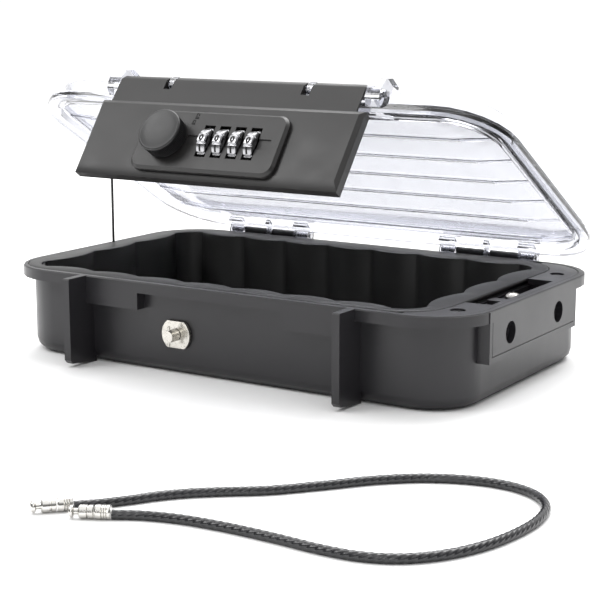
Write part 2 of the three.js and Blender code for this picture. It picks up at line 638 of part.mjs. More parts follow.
function midLug(x) {
  const root = RIM_FRONT + LID_WALL_INSET + 1;
  const shape = polygon([
    [root, LATCH_PIN_Z - 3.6], [LATCH_PIN_Y - 1.5, LATCH_PIN_Z - 3.6], [LATCH_PIN_Y - 3.4, LATCH_PIN_Z - 1.6],
    [LATCH_PIN_Y - 3.4, LATCH_PIN_Z + 1.4], [LATCH_PIN_Y - 1.4, LATCH_PIN_Z + 3.4], [root, LATCH_PIN_Z + 2.4],
  ]);
  return prism(shape, "x", x - MID_LUG_T / 2, x + MID_LUG_T / 2);
}

function lidKnuckle([x0, x1]) {
  const arm = polygon([
    [HALF_D - 1, LID_BOTTOM + 0.5], [HINGE_Y, HINGE_Z + 0.6], [HINGE_Y + 2.4, HINGE_Z + 2.4],
    [HALF_D - 1, LID_BOTTOM + LID_LIP_H],
  ]);
  return join(rod(KNUCKLE_R, "x", x0, x1, [HINGE_Y, HINGE_Z]), prism(arm, "x", x0, x1));
}

// Where the stay leaves the lid, in the closed lid's own place.
function stayOnLid() {
  const turn = THREE.MathUtils.degToRad(LID_OPEN);
  const [dy, dz] = [STAY_Y - HINGE_Y, LID_BOTTOM - HINGE_Z];
  const rise = (dz + dy * -Math.sin(turn)) / Math.cos(turn);
  return { y: HINGE_Y + dy * Math.cos(turn) - rise * Math.sin(turn), height: HINGE_Z + rise };
}

function makeLid() {
  const ranges = hingeRanges();
  const stay = stayOnLid();
  const body = join(
    lidDish(), ...PANEL_RIBS.map(panelRib), latchLug(-LUG_OUTER_X, -LUG_INNER_X),
    latchLug(LUG_INNER_X, LUG_OUTER_X), midLug(-MID_LUG_X), midLug(MID_LUG_X),
    ...ranges.flatMap((r) => r.lid.map(lidKnuckle)),
  );
  return cut(
    body, ...ranges.flatMap((r) => r.base.map(knuckleRelief)),
    ...HINGE_SPANS.map(([x0, x1]) => rod(PIN_BORE_R, "x", x0 - 1, x1 + 1, [HINGE_Y, HINGE_Z], 12)),
    rod(LATCH_PIN_R + GAP + 0.05, "x", -LUG_OUTER_X - 1, LUG_OUTER_X + 1, [LATCH_PIN_Y, LATCH_PIN_Z], 12),
    rod(2.3, "z", LID_BOTTOM - 1, LID_BOTTOM + 2.6, [STAY_X, stay.y], 16),
  );
}

const hingePin = ([x0, x1]) => rod(HINGE_PIN_R, "x", x0 + 0.2, x1 + 0.6, [HINGE_Y, HINGE_Z], 12);

// ---- stay ----
function stayBead(z) {
  const profile = [[0, -0.9], [1, -0.9], [1.9, -0.3], [1.9, 0.5], [1, 1.2], [0, 1.2]];
  const geometry = new THREE.LatheGeometry(profile.map(([x, y]) => new THREE.Vector2(x, y)), 16);
  geometry.rotateX(Math.PI / 2);
  geometry.translate(STAY_X, 0, z);
  return geometry;
}

function makeStayFoot() {
  const geometry = stayBead(RIM_TOP - 1.2);
  geometry.translate(0, STAY_Y, 0);
  return solid(geometry);
}

function makeStayButton() {
  const geometry = stayBead(LID_BOTTOM + 1);
  geometry.translate(0, stayOnLid().y, 0);
  return solid(geometry);
}

const makeStayCord = () =>
  rod(STAY_R, "z", RIM_TOP + GAP + 0.1, stayOnLid().height - 0.5, [STAY_X, STAY_Y], 8);

// ---- latch ----
function latchBarrel() {
  const back = PLATE_FRONT + PLATE_T;
  const shape = polygon([
    [LATCH_PIN_Y, LATCH_PIN_Z + BARREL_R], [LATCH_PIN_Y - 2.4, LATCH_PIN_Z + 2.5],
    [LATCH_PIN_Y - 4.6, LATCH_PIN_Z - 0.4], [PLATE_FRONT + 1.9, LATCH_PIN_Z - 5],
    [PLATE_FRONT + 1.5, PLATE_TOP_Z - 1], [back, PLATE_TOP_Z - 1], [back + 0.2, LATCH_PIN_Z - 5],
    [LATCH_PIN_Y, LATCH_PIN_Z - BARREL_R],
  ]);
  const half = BARREL_HALF;
  const web = prism(shape, "x", -half, half);
  return join(web, rod(BARREL_R, "x", -half, half, [LATCH_PIN_Y, LATCH_PIN_Z]));
}

function latchPlateBody() {
  const [top, bottom] = [PLATE_TOP_HALF, PLATE_BOTTOM_HALF];
  const slope = (top - bottom) / (PLATE_TOP_Z - PLATE_BOTTOM_Z);
  const half = (z) => bottom + slope * (z - PLATE_BOTTOM_Z);
  const bevel = 1.8;
  const back = PLATE_FRONT + PLATE_T;
  const ring = (y, inset, low, high) => [
    [-half(low) + inset, y, low], [half(low) - inset, y, low], [half(high) - inset, y, high],
    [-half(high) + inset, y, high],
  ];
  const rings = [
    ring(PLATE_FRONT, bevel, PLATE_BOTTOM_Z + PLATE_FOLD_H, PLATE_TOP_Z - 2),
    ring(PLATE_FRONT + 1.5, 0, PLATE_BOTTOM_Z, PLATE_TOP_Z),
    ring(back, 0, PLATE_BOTTOM_Z, PLATE_TOP_Z),
  ];
  const inner = [ring(back - 0.5, 0, PLATE_BOTTOM_Z, PLATE_TOP_Z), ring(PLATE_SIDE_BACK, 0, PLATE_BOTTOM_Z, PLATE_TOP_Z)];
  const hollow = [
    ring(back - 1, PLATE_SIDE_T, PLATE_BOTTOM_Z + PLATE_SIDE_T, PLATE_TOP_Z + 2),
    ring(PLATE_SIDE_BACK + 1, PLATE_SIDE_T, PLATE_BOTTOM_Z + PLATE_SIDE_T, PLATE_TOP_Z + 2),
  ];
  return join(loft4(rings), cut(loft4(inner), loft4(hollow)));
}

// Four-cornered rings set across Y, joined front to back.
function loft4(rings) {
  const positions = rings.flat(2);
  const index = [];
  for (let k = 0; k + 1 < rings.length; k++) {
    for (let i = 0; i < 4; i++) {
      const j = (i + 1) % 4;
      const [a, b, c, d] = [k * 4 + i, k * 4 + j, (k + 1) * 4 + j, (k + 1) * 4 + i];
      index.push(a, c, b, a, d, c);
    }
  }
  const last = (rings.length - 1) * 4;
  index.push(0, 1, 2, 0, 2, 3, last, last + 2, last + 1, last, last + 3, last + 2);
  const geometry = new THREE.BufferGeometry();
  geometry.setAttribute("position", new THREE.Float32BufferAttribute(positions, 3));
  geometry.setIndex(index);
  return solid(geometry);
}

function hookRail(x0, x1) {
  const back = PLATE_FRONT + PLATE_T;
  const top = RIM_TOP - KEEPER_H - 0.5;
  const shape = polygon([[back - 0.5, top - 5.4], [back, top - 5.4], [HOOK_TIP, top - 2], [HOOK_TIP, top], [back - 0.5, top]]);
  return prism(shape, "x", x0, x1);
}

function makeLatch() {
  const body = join(latchBarrel(), latchPlateBody(), hookRail(-HOOK_OUTER_X, -42), hookRail(38, HOOK_OUTER_X));
  const slots = [-MID_LUG_X, MID_LUG_X].map((x) =>
    box([x - MID_LUG_T / 2 - 0.6, x + MID_LUG_T / 2 + 0.6], [-82, -60], [LATCH_PIN_Z - 5, LATCH_PIN_Z + 8]));
  const window = roundedRect(LOCK_Z - BODY_HALF_H - GAP - 0.1, LOCK_Z + BODY_HALF_H + GAP + 0.1,
    -BODY_HALF_W - GAP - 0.1, BODY_HALF_W + GAP + 0.1, 3);
  return cut(
    body, ...slots, prism(window, "y", -90, -70),
    rod(LATCH_PIN_R + GAP + 0.05, "x", -80, 80, [LATCH_PIN_Y, LATCH_PIN_Z], 12),
  );
}

const makeLatchPin = () =>
  rod(LATCH_PIN_R, "x", -LUG_OUTER_X - 1.2, LUG_OUTER_X + 1.2, [LATCH_PIN_Y, LATCH_PIN_Z], 12);

// ---- lock ----
const wheelXs = Array.from({ length: WHEEL_COUNT }, (_, i) =>
  WHEELS_X + (i - (WHEEL_COUNT - 1) / 2) * WHEEL_PITCH);
const wheelSpan = [wheelXs[0] - WHEEL_W / 2 - 1.6, wheelXs[WHEEL_COUNT - 1] + WHEEL_W / 2 + 1.6];
const backScrewXs = [-BODY_HALF_W + 2.9, BODY_HALF_W - 2.9];

const bodyRect = (halfW, halfH, r) =>
  roundedRect(LOCK_Z - halfH, LOCK_Z + halfH, -halfW, halfW, r);

function makeHousing() {
  const bezelRing = (inset, y) => rectRing({
    x0: inset - BEZEL_HALF_W, x1: BEZEL_HALF_W - inset, r: BEZEL_R - inset,
    y0: LOCK_Z - BEZEL_HALF_H + inset, y1: LOCK_Z + BEZEL_HALF_H - inset,
  }, 0).map(([across, up]) => [across, y, up]);
  const bezel = loft([
    bezelRing(0, BEZEL_BACK), bezelRing(0, BEZEL_FRONT + BEZEL_CHAMFER), bezelRing(BEZEL_CHAMFER, BEZEL_FRONT),
  ]);
  const box0 = prism(bodyRect(BODY_HALF_W, BODY_HALF_H, 3), "y", BEZEL_BACK - 0.1, HOUSING_BACK);
  const hollow = prism(bodyRect(BODY_HALF_W - 1.4, BODY_HALF_H - 1.4, 1.8), "y", BEZEL_FRONT + FACE_T, HOUSING_BACK + 1);
  const cheeks = [wheelSpan[0] - 1.4, wheelSpan[1]].map((x) =>
    box([x, x + 1.4], [BEZEL_FRONT + FACE_T - 0.2, HOUSING_BACK], [LOCK_Z - BODY_HALF_H + 0.5, LOCK_Z + BODY_HALF_H - 0.5]));
  const posts = backScrewXs.map((x) =>
    rod(2.1, "y", BEZEL_FRONT + FACE_T - 0.2, HOUSING_BACK, [LOCK_Z, x], 18));
  const windows = wheelXs.map((x) =>
    box([x - WHEEL_W / 2 - 0.5, x + WHEEL_W / 2 + 0.5], [BEZEL_FRONT - 1, BEZEL_FRONT + 3],
      [LOCK_Z - WHEEL_R - 0.4, LOCK_Z + WHEEL_R + 0.4]));
  const groove = box([KNOB_X + KNOB_R - 0.4, wheelSpan[1] + 5], [BEZEL_FRONT - 1, BEZEL_FRONT + 0.6],
    [LOCK_Z - 2.4, LOCK_Z + 2.4]);
  return cut(
    join(cut(join(bezel, box0), hollow), ...cheeks, ...posts), ...windows, groove,
    rod(CUP_R + 0.4, "y", BEZEL_FRONT - 1, HOUSING_BACK + 1, [LOCK_Z, KNOB_X], 28),
    rod(SPINDLE_R + 0.35, "x", wheelSpan[0] - 2, wheelSpan[1] + 2, [WHEEL_Y, LOCK_Z], 12),
    ...backScrewXs.map((x) => rod(1.1, "y", HOUSING_BACK - 5, HOUSING_BACK + 1, [LOCK_Z, x], 14)),
  );
}

function makeBackCover() {
  const front = HOUSING_BACK + GAP;
  const plate = prism(bodyRect(BODY_HALF_W, BODY_HALF_H, 3), "y", front, COVER_BACK);
  const shellOuter = rod(WHEEL_R + 1.1, "x", wheelSpan[0] + 0.1, wheelSpan[1] - 0.1, [WHEEL_Y, LOCK_Z], 28);
  const shellInner = rod(WHEEL_R + 0.35, "x", wheelSpan[0] + 0.9, wheelSpan[1] - 0.9, [WHEEL_Y, LOCK_Z], 28);
  const ahead = box([-40, 40], [-100, front], [0, 40]);
  return cut(
    join(plate, shellOuter), shellInner, ahead,
    rod(CUP_R + 0.4, "y", -80, -60, [LOCK_Z, KNOB_X], 28),
    ...backScrewXs.map((x) => rod(1.1, "y", -80, -60, [LOCK_Z, x], 14)),
  );
}

function backScrew(x) {
  const head = rod(1.8, "y", COVER_BACK + GAP, COVER_BACK + GAP + 0.9, [LOCK_Z, x], 16);
  const shank = rod(0.8, "y", HOUSING_BACK - 4.4, COVER_BACK + GAP + 0.1, [LOCK_Z, x], 12);
  const drive = box([x - 1.2, x + 1.2], [COVER_BACK + GAP + 0.5, COVER_BACK + 3], [LOCK_Z - 0.25, LOCK_Z + 0.25]);
  return cut(join(head, shank), drive);
}

function makeKnob() {
  const profile = [
    [0, 0], [KNOB_R - 0.4, 0], [KNOB_R, 0.5], [KNOB_R - 0.3, KNOB_H - 1],
    [KNOB_R - 1.1, KNOB_H], [KNOB_R - 1.8, KNOB_H], [0, KNOB_H - 0.35],
  ];
  const geometry = new THREE.LatheGeometry(profile.map(([x, y]) => new THREE.Vector2(x, y)), 36);
  geometry.rotateX(Math.PI);
  geometry.translate(KNOB_X, KNOB_BACK, LOCK_Z);
  return solid(geometry);
}

function makeKnobCup() {
  const outer = rod(CUP_R, "y", CUP_FRONT, CUP_BACK, [LOCK_Z, KNOB_X], 28);
  const inside = rod(CUP_R - CUP_WALL, "y", CUP_FRONT + 1.8, CUP_BACK - CUP_LIP_T, [LOCK_Z, KNOB_X], 28);
  const mouth = rod(STUD_R + 0.6, "y", CUP_BACK - 3, CUP_BACK + 1, [LOCK_Z, KNOB_X], 24);
  const slot = box([KNOB_X - 1.4, KNOB_X + 1.4], [CUP_BACK - 3, CUP_BACK + 1],
    [LOCK_Z - CROSS_PIN_L / 2 - 0.7, LOCK_Z + CROSS_PIN_L / 2 + 0.7]);
  return cut(outer, inside, mouth, slot);
}

function makeWheel(x) {
  const disc = rod(WHEEL_R, "x", x - WHEEL_W / 2, x + WHEEL_W / 2, [WHEEL_Y, LOCK_Z], 28);
  return cut(disc, rod(SPINDLE_R + 0.35, "x", x - 5, x + 5, [WHEEL_Y, LOCK_Z], 12));
}

const makeSpindle = () =>
  rod(SPINDLE_R, "x", wheelSpan[0] - 1.3, wheelSpan[1] + 1.3, [WHEEL_Y, LOCK_Z], 12);

function makeDetentLeaf() {
  const low = LOCK_Z + WHEEL_R + 0.4;
  return box([wheelSpan[0] + 0.4, wheelSpan[1] - 0.4], [WHEEL_Y - 2.4, WHEEL_Y + 2], [low, low + 0.45]);
}

// ---- cable ----
function cablePoint([x, y]) {
  return new THREE.Vector3(x, y, CABLE_R);
}

function makeCable() {
  const curve = new THREE.CatmullRomCurve3(CABLE_ROUTE.map(cablePoint), false, "centripetal");
  const section = new THREE.Shape();
  for (let i = 0; i < CABLE_SIDES; i++) {
    const turn = ((i + 0.5) / CABLE_SIDES) * Math.PI * 2;
    const radius = CABLE_R / Math.cos(Math.PI / CABLE_SIDES);
    section[i ? "lineTo" : "moveTo"](radius * Math.cos(turn), radius * Math.sin(turn));
  }
  return solid(new THREE.ExtrudeGeometry(section, { steps: CABLE_STEPS, extrudePath: curve, bevelEnabled: false }));
}

// Ferrule, body, neck and ball of a plug, as radius and distance from the cable's end.
const FERRULE_PROFILE = [[0, GAP], [PLUG_R, GAP], [PLUG_R, 5.2], [PLUG_R - 0.3, 5.4], [0, 5.4]];
const PIN_PROFILE = [
  [0, 5.7], [PLUG_R - 0.15, 5.7], [PLUG_R - 0.15, 10.2], [PLUG_R - 0.6, 10.6], [1.1, 10.6], [1.1, 12.2],
  [1.75, 12.3], [2.1, 12.9], [1.9, 13.5], [1.0, 14.1], [0, 14.2],
];

function plugPiece(profile, end, inner) {
  const geometry = new THREE.LatheGeometry(profile.map(([x, y]) => new THREE.Vector2(x, y)), 14);
  const away = new THREE.Vector3(end[0] - inner[0], end[1] - inner[1], 0).normalize();
  const turn = new THREE.Quaternion().setFromUnitVectors(new THREE.Vector3(0, 1, 0), away);
  geometry.applyQuaternion(turn);
  geometry.translate(end[0], end[1], PLUG_R);
  return solid(geometry);
}

// ---- assembly ----
const root = new THREE.Group();

root.add(
  meshOf("base_tray", makeTray(), TRAY_PLASTIC),
  meshOf("liner", makeLiner(), LINER_RUBBER),
  meshOf("end_cover", makeEndCover(), TRAY_PLASTIC),
  meshOf("release_slide", makeSlide(), TRAY_PLASTIC),
  meshOf("slide_screw", makeSlideScrew(), STEEL),
  meshOf("stud_plate", makeStudPlate(), STEEL),
  meshOf("lock_stud", makeStud(), STEEL),
  meshOf("stud_cross_pin", makeCrossPin(), STEEL),
  meshOf("stay_foot", makeStayFoot(), CORD_BLACK),
  meshOf("stay_cord", makeStayCord(), CORD_BLACK),
);
coverScrews.forEach((place, i) => {
  root.add(meshOf(`end_cover_screw_${i + 1}`, countersunkScrew(place), CORD_BLACK));
});
HINGE_SPANS.forEach((span, i) => {
  root.add(meshOf(`hinge_pin_${["left", "right"][i]}`, hingePin(span), STEEL));
});

root.add(meshOf("security_cable", makeCable(), CABLE_BLACK));
const last = CABLE_ROUTE.length - 1;
[[CABLE_ROUTE[0], CABLE_ROUTE[1], "a"], [CABLE_ROUTE[last], CABLE_ROUTE[last - 1], "b"]].forEach(
  ([end, inner, letter]) => {
    root.add(meshOf(`cable_ferrule_${letter}`, plugPiece(FERRULE_PROFILE, end, inner), NICKEL));
    root.add(meshOf(`cable_pin_${letter}`, plugPiece(PIN_PROFILE, end, inner), NICKEL));
  },
);

// A group whose children keep their closed places while it turns about an axis along X.
function hinged(y, z, degrees) {
  const swing = new THREE.Group();
  swing.position.set(0, y, z);
  swing.rotation.x = THREE.MathUtils.degToRad(degrees);
  const held = new THREE.Group();
  held.position.set(0, -y, -z);
  swing.add(held);
  return [swing, held];
}

const [lidSwing, lid] = hinged(HINGE_Y, HINGE_Z, -LID_OPEN);
lid.add(
  meshOf("lid_shell", makeLid(), CLEAR),
  meshOf("stay_button", makeStayButton(), CORD_BLACK),
  meshOf("latch_pin", makeLatchPin(), STEEL),
);
root.add(lidSwing);

const [latchSwing, latch] = hinged(LATCH_PIN_Y, LATCH_PIN_Z, -LATCH_OUT);
latch.add(
  meshOf("latch_plate", makeLatch(), LATCH_PLASTIC),
  meshOf("lock_housing", makeHousing(), LATCH_PLASTIC),
  meshOf("lock_back_cover", makeBackCover(), LATCH_PLASTIC),
  meshOf("lock_knob", makeKnob(), LATCH_PLASTIC),
  meshOf("knob_cup", makeKnobCup(), STEEL),
  meshOf("wheel_spindle", makeSpindle(), STEEL),
  meshOf("detent_leaf", makeDetentLeaf(), STEEL),
);
backScrewXs.forEach((x, i) => {
  latch.add(meshOf(`back_cover_screw_${i + 1}`, backScrew(x), STEEL));
});
wheelXs.forEach((x, i) => {
  latch.add(meshOf(`digit_wheel_${i + 1}`, makeWheel(x), CHROME));
});
lid.add(latchSwing);

export default root;
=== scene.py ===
"""Looks of a portable lock box with a clear lid, a front combination latch and a loose cable.

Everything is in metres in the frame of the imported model. Sizes below are written in millimetres
and scaled by MM. The lid and the latch are drawn closed and then turned to where they rest.
"""

import logging
import math
from dataclasses import dataclass
from enum import Enum
from typing import Iterable, Optional, Sequence

import bmesh
import bpy
import numpy as np
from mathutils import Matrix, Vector

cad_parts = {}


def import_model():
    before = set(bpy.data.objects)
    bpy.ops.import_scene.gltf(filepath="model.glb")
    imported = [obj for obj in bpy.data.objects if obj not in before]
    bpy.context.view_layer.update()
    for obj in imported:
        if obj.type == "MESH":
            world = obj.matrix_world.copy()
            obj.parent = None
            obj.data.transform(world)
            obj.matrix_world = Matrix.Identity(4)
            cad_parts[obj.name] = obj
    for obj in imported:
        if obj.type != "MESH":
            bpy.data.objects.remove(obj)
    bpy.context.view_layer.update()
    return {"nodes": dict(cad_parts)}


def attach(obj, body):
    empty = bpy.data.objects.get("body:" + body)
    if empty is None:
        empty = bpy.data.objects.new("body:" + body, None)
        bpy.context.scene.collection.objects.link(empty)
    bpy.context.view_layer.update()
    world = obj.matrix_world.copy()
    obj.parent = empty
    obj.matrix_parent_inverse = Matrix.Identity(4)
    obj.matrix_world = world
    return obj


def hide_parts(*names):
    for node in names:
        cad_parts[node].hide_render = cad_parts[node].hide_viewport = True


LOG = logging.getLogger("lock_box")
MM = 0.001
Socket = bpy.types.NodeSocket
TAU = 2 * math.pi


# --------------------------------------------------------------------------- colour and shaders


def linear(hex_colour: str, alpha: float = 1.0) -> tuple[float, float, float, float]:
    """Turns an sRGB hex colour into the linear values that shaders take.

    Args:
        hex_colour: six hex digits, such as "3a393c".
        alpha: the fourth value.
    Returns:
        Linear red, green, blue and alpha.
    """
    channels = [int(hex_colour[i : i + 2], 16) / 255 for i in (0, 2, 4)]
    low_high = [c / 12.92 if c <= 0.04045 else ((c + 0.055) / 1.055) ** 2.4 for c in channels]
    return (*low_high, alpha)


class Shader:
    """A node material built one node at a time."""

    def __init__(self, name: str) -> None:
        """Starts a material with a surface and object coordinates."""
        self.material = bpy.data.materials.new(name)
        self.material.use_nodes = True
        self.tree = self.material.node_tree
        self.tree.nodes.clear()
        self.surface = self.add("ShaderNodeBsdfPrincipled")
        out = self.add("ShaderNodeOutputMaterial")
        self.join(self.surface.outputs["BSDF"], out.inputs["Surface"])
        self.coords = self.add("ShaderNodeTexCoord").outputs["Object"]

    def add(self, kind: str, inputs: Optional[dict] = None, **settings) -> bpy.types.Node:
        """Adds a node, sets its properties, and sets or links its inputs.

        Args:
            kind: the node's Blender type.
            inputs: socket name or number to a value, or to an output socket to link.
            **settings: properties of the node.
        Returns:
            The new node.
        """
        node = self.tree.nodes.new(kind)
        for key, value in settings.items():
            setattr(node, key, value)
        for key, value in (inputs or {}).items():
            if isinstance(value, bpy.types.NodeSocket):
                self.join(value, node.inputs[key])
            else:
                node.inputs[key].default_value = value
        return node

    def join(self, output: bpy.types.NodeSocket, target: bpy.types.NodeSocket) -> None:
        """Links one socket to another."""
        self.tree.links.new(output, target)

    def noise(self, grain_mm: float, detail: float = 3, stretch: Sequence[float] = (1, 1, 1)) -> Socket:
        """Noise whose features are grain_mm across, as a value from 0 to 1.

        Args:
            grain_mm: size of one feature.
            detail: octaves of finer noise.
            stretch: how much shorter the features are along each axis.
        Returns:
            The noise node's value socket.
        """
        scale = [s / (grain_mm * MM) for s in stretch]
        placed = self.add("ShaderNodeMapping", {"Vector": self.coords, "Scale": scale})
        inputs = {"Vector": placed.outputs[0], "Scale": 1.0, "Detail": detail}
        return self.add("ShaderNodeTexNoise", inputs).outputs["Fac"]

    def remap(self, value: Socket, low: float, high: float,
              at: tuple[float, float] = (0.3, 0.7)) -> Socket:
        """Stretches one range of a value onto another.

        Args:
            value: the value to stretch.
            low, high: the range that it gets.
            at: the range that it had.
        Returns:
            The stretched value's socket.
        """
        inputs = {"Value": value, "From Min": at[0], "From Max": at[1], "To Min": low, "To Max": high}
        return self.add("ShaderNodeMapRange", inputs).outputs[0]

    def mix(self, factor: Socket, first: tuple | Socket, second: tuple | Socket) -> Socket:
        """Blends two colours.

        Args:
            factor: 0 gives the first colour and 1 the second.
            first: a colour or a socket.
            second: a colour or a socket.
        Returns:
            The blend's colour socket.
        """
        node = self.add("ShaderNodeMix", data_type="RGBA")
        # Sockets 0, 6 and 7 are the node's factor and its two colours.
        for number, value in ((0, factor), (6, first), (7, second)):
            socket = node.inputs[number]
            if isinstance(value, bpy.types.NodeSocket):
                self.join(value, socket)
            else:
                socket.default_value = value
        return node.outputs[2]

    def bump(self, height: Socket, depth_mm: float) -> Socket:
        """Makes a relief.

        Args:
            height: the relief, from 0 to 1.
            depth_mm: its full height.
        Returns:
            The bumped normal's socket.
        """
        inputs = {"Height": height, "Distance": depth_mm * MM, "Strength": 1.0}
        return self.add("ShaderNodeBump", inputs).outputs[0]

    def set(self, **values) -> None:
        """Sets or links inputs of the surface.

        Args:
            **values: the inputs, with underscores for the spaces in their names.
        """
        for key, value in values.items():
            socket = self.surface.inputs[key.replace("_", " ")]
            if isinstance(value, bpy.types.NodeSocket):
                self.join(value, socket)
            else:
                socket.default_value = value


@dataclass(frozen=True)
class MouldedPlastic:
    """Spark-textured moulded plastic or rubber.

    Attributes:
        name: the material's name.
        colour: hex of the pigment.
        worn: hex of the paler, rubbed tone.
        roughness: lowest and highest roughness.
        grain_mm: size of the mould's texture.
        depth_mm: its depth.
        ior: index of refraction.
    """

    name: str
    colour: str
    worn: str
    roughness: tuple[float, float] = (0.4, 0.5)
    grain_mm: float = 0.35
    depth_mm: float = 0.02
    ior: float = 1.49

    def build(self) -> bpy.types.Material:
        """Makes the material.

        Returns:
            The material.
        """
        s = Shader(self.name)
        fine = s.noise(self.grain_mm, detail=2)
        broad = s.noise(self.grain_mm * 60, detail=4)
        tone = s.mix(s.remap(broad, 0, 0.5), linear(self.colour), linear(self.worn))
        speck = s.mix(s.remap(fine, 0, 0.3, (0.55, 0.8)), tone, linear(self.worn))
        low, high = self.roughness
        s.set(Base_Color=speck, Roughness=s.remap(broad, low, high), IOR=self.ior)
        s.set(Normal=s.bump(fine, self.depth_mm))
        return s.material


@dataclass(frozen=True)
class ClearPlastic:
    """Clear moulded plastic with a faint tint and flow waves.

    Attributes:
        name: the material's name.
        tint: hex of the tint that one face lends.
        roughness: roughness of the polished face.
        haze: share of the light that the face scatters instead of passing on.
    """

    name: str
    tint: str
    roughness: float = 0.04
    haze: float = 0.0

    def build(self) -> bpy.types.Material:
        """Makes the material.

        Returns:
            The material.
        """
        s = Shader(self.name)
        flow = s.noise(40, detail=1)
        fog = s.noise(9, detail=4)
        low = s.remap(fog, self.roughness, self.roughness * 2.2)
        s.set(Base_Color=linear(self.tint), Roughness=low, IOR=1.54)
        s.set(Transmission_Weight=1.0 - self.haze, Normal=s.bump(flow, 0.05))
        return s.material


@dataclass(frozen=True)
class Metal:
    """Turned, drawn or plated metal.

    Attributes:
        name: the material's name.
        colour: hex of the metal.
        roughness: lowest and highest roughness.
        grain_mm: length of the machining marks.
        stretch: how much finer the marks are along each axis.
        depth_mm: their depth.
    """

    name: str
    colour: str
    roughness: tuple[float, float] = (0.18, 0.32)
    grain_mm: float = 1.2
    stretch: tuple[float, float, float] = (1, 8, 1)
    depth_mm: float = 0.004

    def build(self) -> bpy.types.Material:
        """Makes the material.

        Returns:
            The material.
        """
        s = Shader(self.name)
        marks = s.noise(self.grain_mm, detail=3, stretch=self.stretch)
        stain = s.noise(6, detail=4)
        dull = tuple(0.72 * c for c in linear(self.colour)[:3]) + (1.0,)
        low, high = self.roughness
        s.set(Base_Color=s.mix(s.remap(stain, 0, 0.6), linear(self.colour), dull), Metallic=1.0)
        s.set(Roughness=s.remap(marks, low, high), Normal=s.bump(marks, self.depth_mm))
        return s.material


class Finish(Enum):
    """Every finish on the object."""

    # Spark-eroded ABS: a soft, broad sheen over a fine even grain, paler where it catches light.
    TRAY = MouldedPlastic("abs_charcoal_spark_textured", "1d1c1f", "28272a", (0.3, 0.4))
    # The same ABS from a finer mould: a touch warmer and smoother, with a duller sheen.
    LATCH = MouldedPlastic("abs_charcoal_fine_textured", "191818", "222121", (0.34, 0.44), 0.22, 0.012)
    # Satin nylon: the darkest piece, with soft highlights along its ridges.
    KNOB = MouldedPlastic("nylon_black_satin", "0f0f10", "19191a", (0.28, 0.38), 0.3, 0.012)
    # Moulded elastomer: matt and even, so its lobes show by shading and not by highlights.
    RUBBER = MouldedPlastic("tpe_black_matt_moulded", "161616", "212121", (0.42, 0.55), 0.5, 0.02, 1.5)
    # Extruded nylon cord: a narrow highlight along its length.
    STAY = MouldedPlastic("nylon_black_extruded", "131314", "202021", (0.3, 0.4), 0.6, 0.02)
    # Glossy PVC over strands: bright broken highlights that wind along the cable.
    JACKET = MouldedPlastic("pvc_black_jacket", "1c1c1e", "2b2b2f", (0.2, 0.3), 0.4, 0.008, 1.53)
    # Black oxide is a thin coat, so it is shaded as a coat: near black with a faint waxy gleam.
    BLACK_SCREW = MouldedPlastic("steel_black_oxide", "101011", "1c1c1d", (0.3, 0.45), 0.4, 0.01, 1.8)
    # Printed ink: flat black with no gleam, so the digits stay readable on bright plating.
    INK = MouldedPlastic("ink_black_pad_printed", "060606", "0c0c0c", (0.6, 0.75), 0.3, 0.004)
    # Polished polycarbonate: clear with a faint cool tint and slightly wavy reflections.
    CLEAR = ClearPlastic("pc_clear_polished", "d3d4da")
    # Polycarbonate ribs given a pale, hazy finish: a painted highlight for the top light that the ribs catch,
    # so they read as pale bands.
    PAINTED_RIB_HIGHLIGHT = ClearPlastic("pc_clear_ribs_painted_highlight", "f4f4f6", 0.35, 0.75)
    # Turned stainless steel: fine marks draw its highlights out into streaks.
    STEEL = Metal("steel_stainless_turned", "cfccc5")
    # Ground steel: greyer and duller than the turned pieces.
    PIN = Metal("steel_pin_ground", "b9b9bc", (0.2, 0.34))
    # Chrome plate on cast zinc: smooth, with sharp reflections of the lights.
    CHROME = Metal("zinc_chrome_plated", "b4b4b7", (0.14, 0.24), 2.0, (1, 1, 1), 0.002)
    # Nickel plate on brass: the brightest metal, a little warm.
    NICKEL = Metal("brass_nickel_plated", "d4d2ce", (0.1, 0.22), 1.5, (1, 1, 1), 0.003)


_MADE: dict[Finish, bpy.types.Material] = {}


def made(finish: Finish) -> bpy.types.Material:
    """Finds a finish's material, and makes it the first time.

    Args:
        finish: the finish.
    Returns:
        Its material, which all its pieces share.
    """
    if finish not in _MADE:
        _MADE[finish] = finish.value.build()
    return _MADE[finish]


def dress(piece: bpy.types.Object, finish: Finish) -> bpy.types.Object:
    """Gives a piece one finish.

    Args:
        piece: the piece.
        finish: what it is made of.
    Returns:
        The same piece.
    """
    piece.data.materials.clear()
    piece.data.materials.append(made(finish))
    return piece


# --------------------------------------------------------------------------- camera and cable


@dataclass(frozen=True)
class View:
    """The camera's place, as a product photographer would note it.

    Attributes:
        place_mm: the camera's place.
        azimuth: degrees round from the front, towards the right.
        elevation: degrees above the table.
        lens_mm: focal length on a 36 mm sensor.
    """

    place_mm: tuple[float, float, float] = (377.9, -593.8, 164.9)
    azimuth: float = 32.245
    elevation: float = 11.517
    lens_mm: float = 90.85

    def build(self) -> None:
        """Makes the camera and makes it the scene's own."""
        az, el = math.radians(self.azimuth), math.radians(self.elevation)
        ahead = Vector((-math.sin(az) * math.cos(el), math.cos(az) * math.cos(el), -math.sin(el)))
        data = bpy.data.cameras.new("camera")
        data.lens, data.sensor_width = self.lens_mm, 36.0
        data.clip_start, data.clip_end = 0.01, 20
        camera = bpy.data.objects.new("camera", data)
        camera.location = Vector(self.place_mm) * MM
        camera.rotation_euler = ahead.to_track_quat("-Z", "Y").to_euler()
        bpy.context.collection.objects.link(camera)
        bpy.context.scene.camera = camera


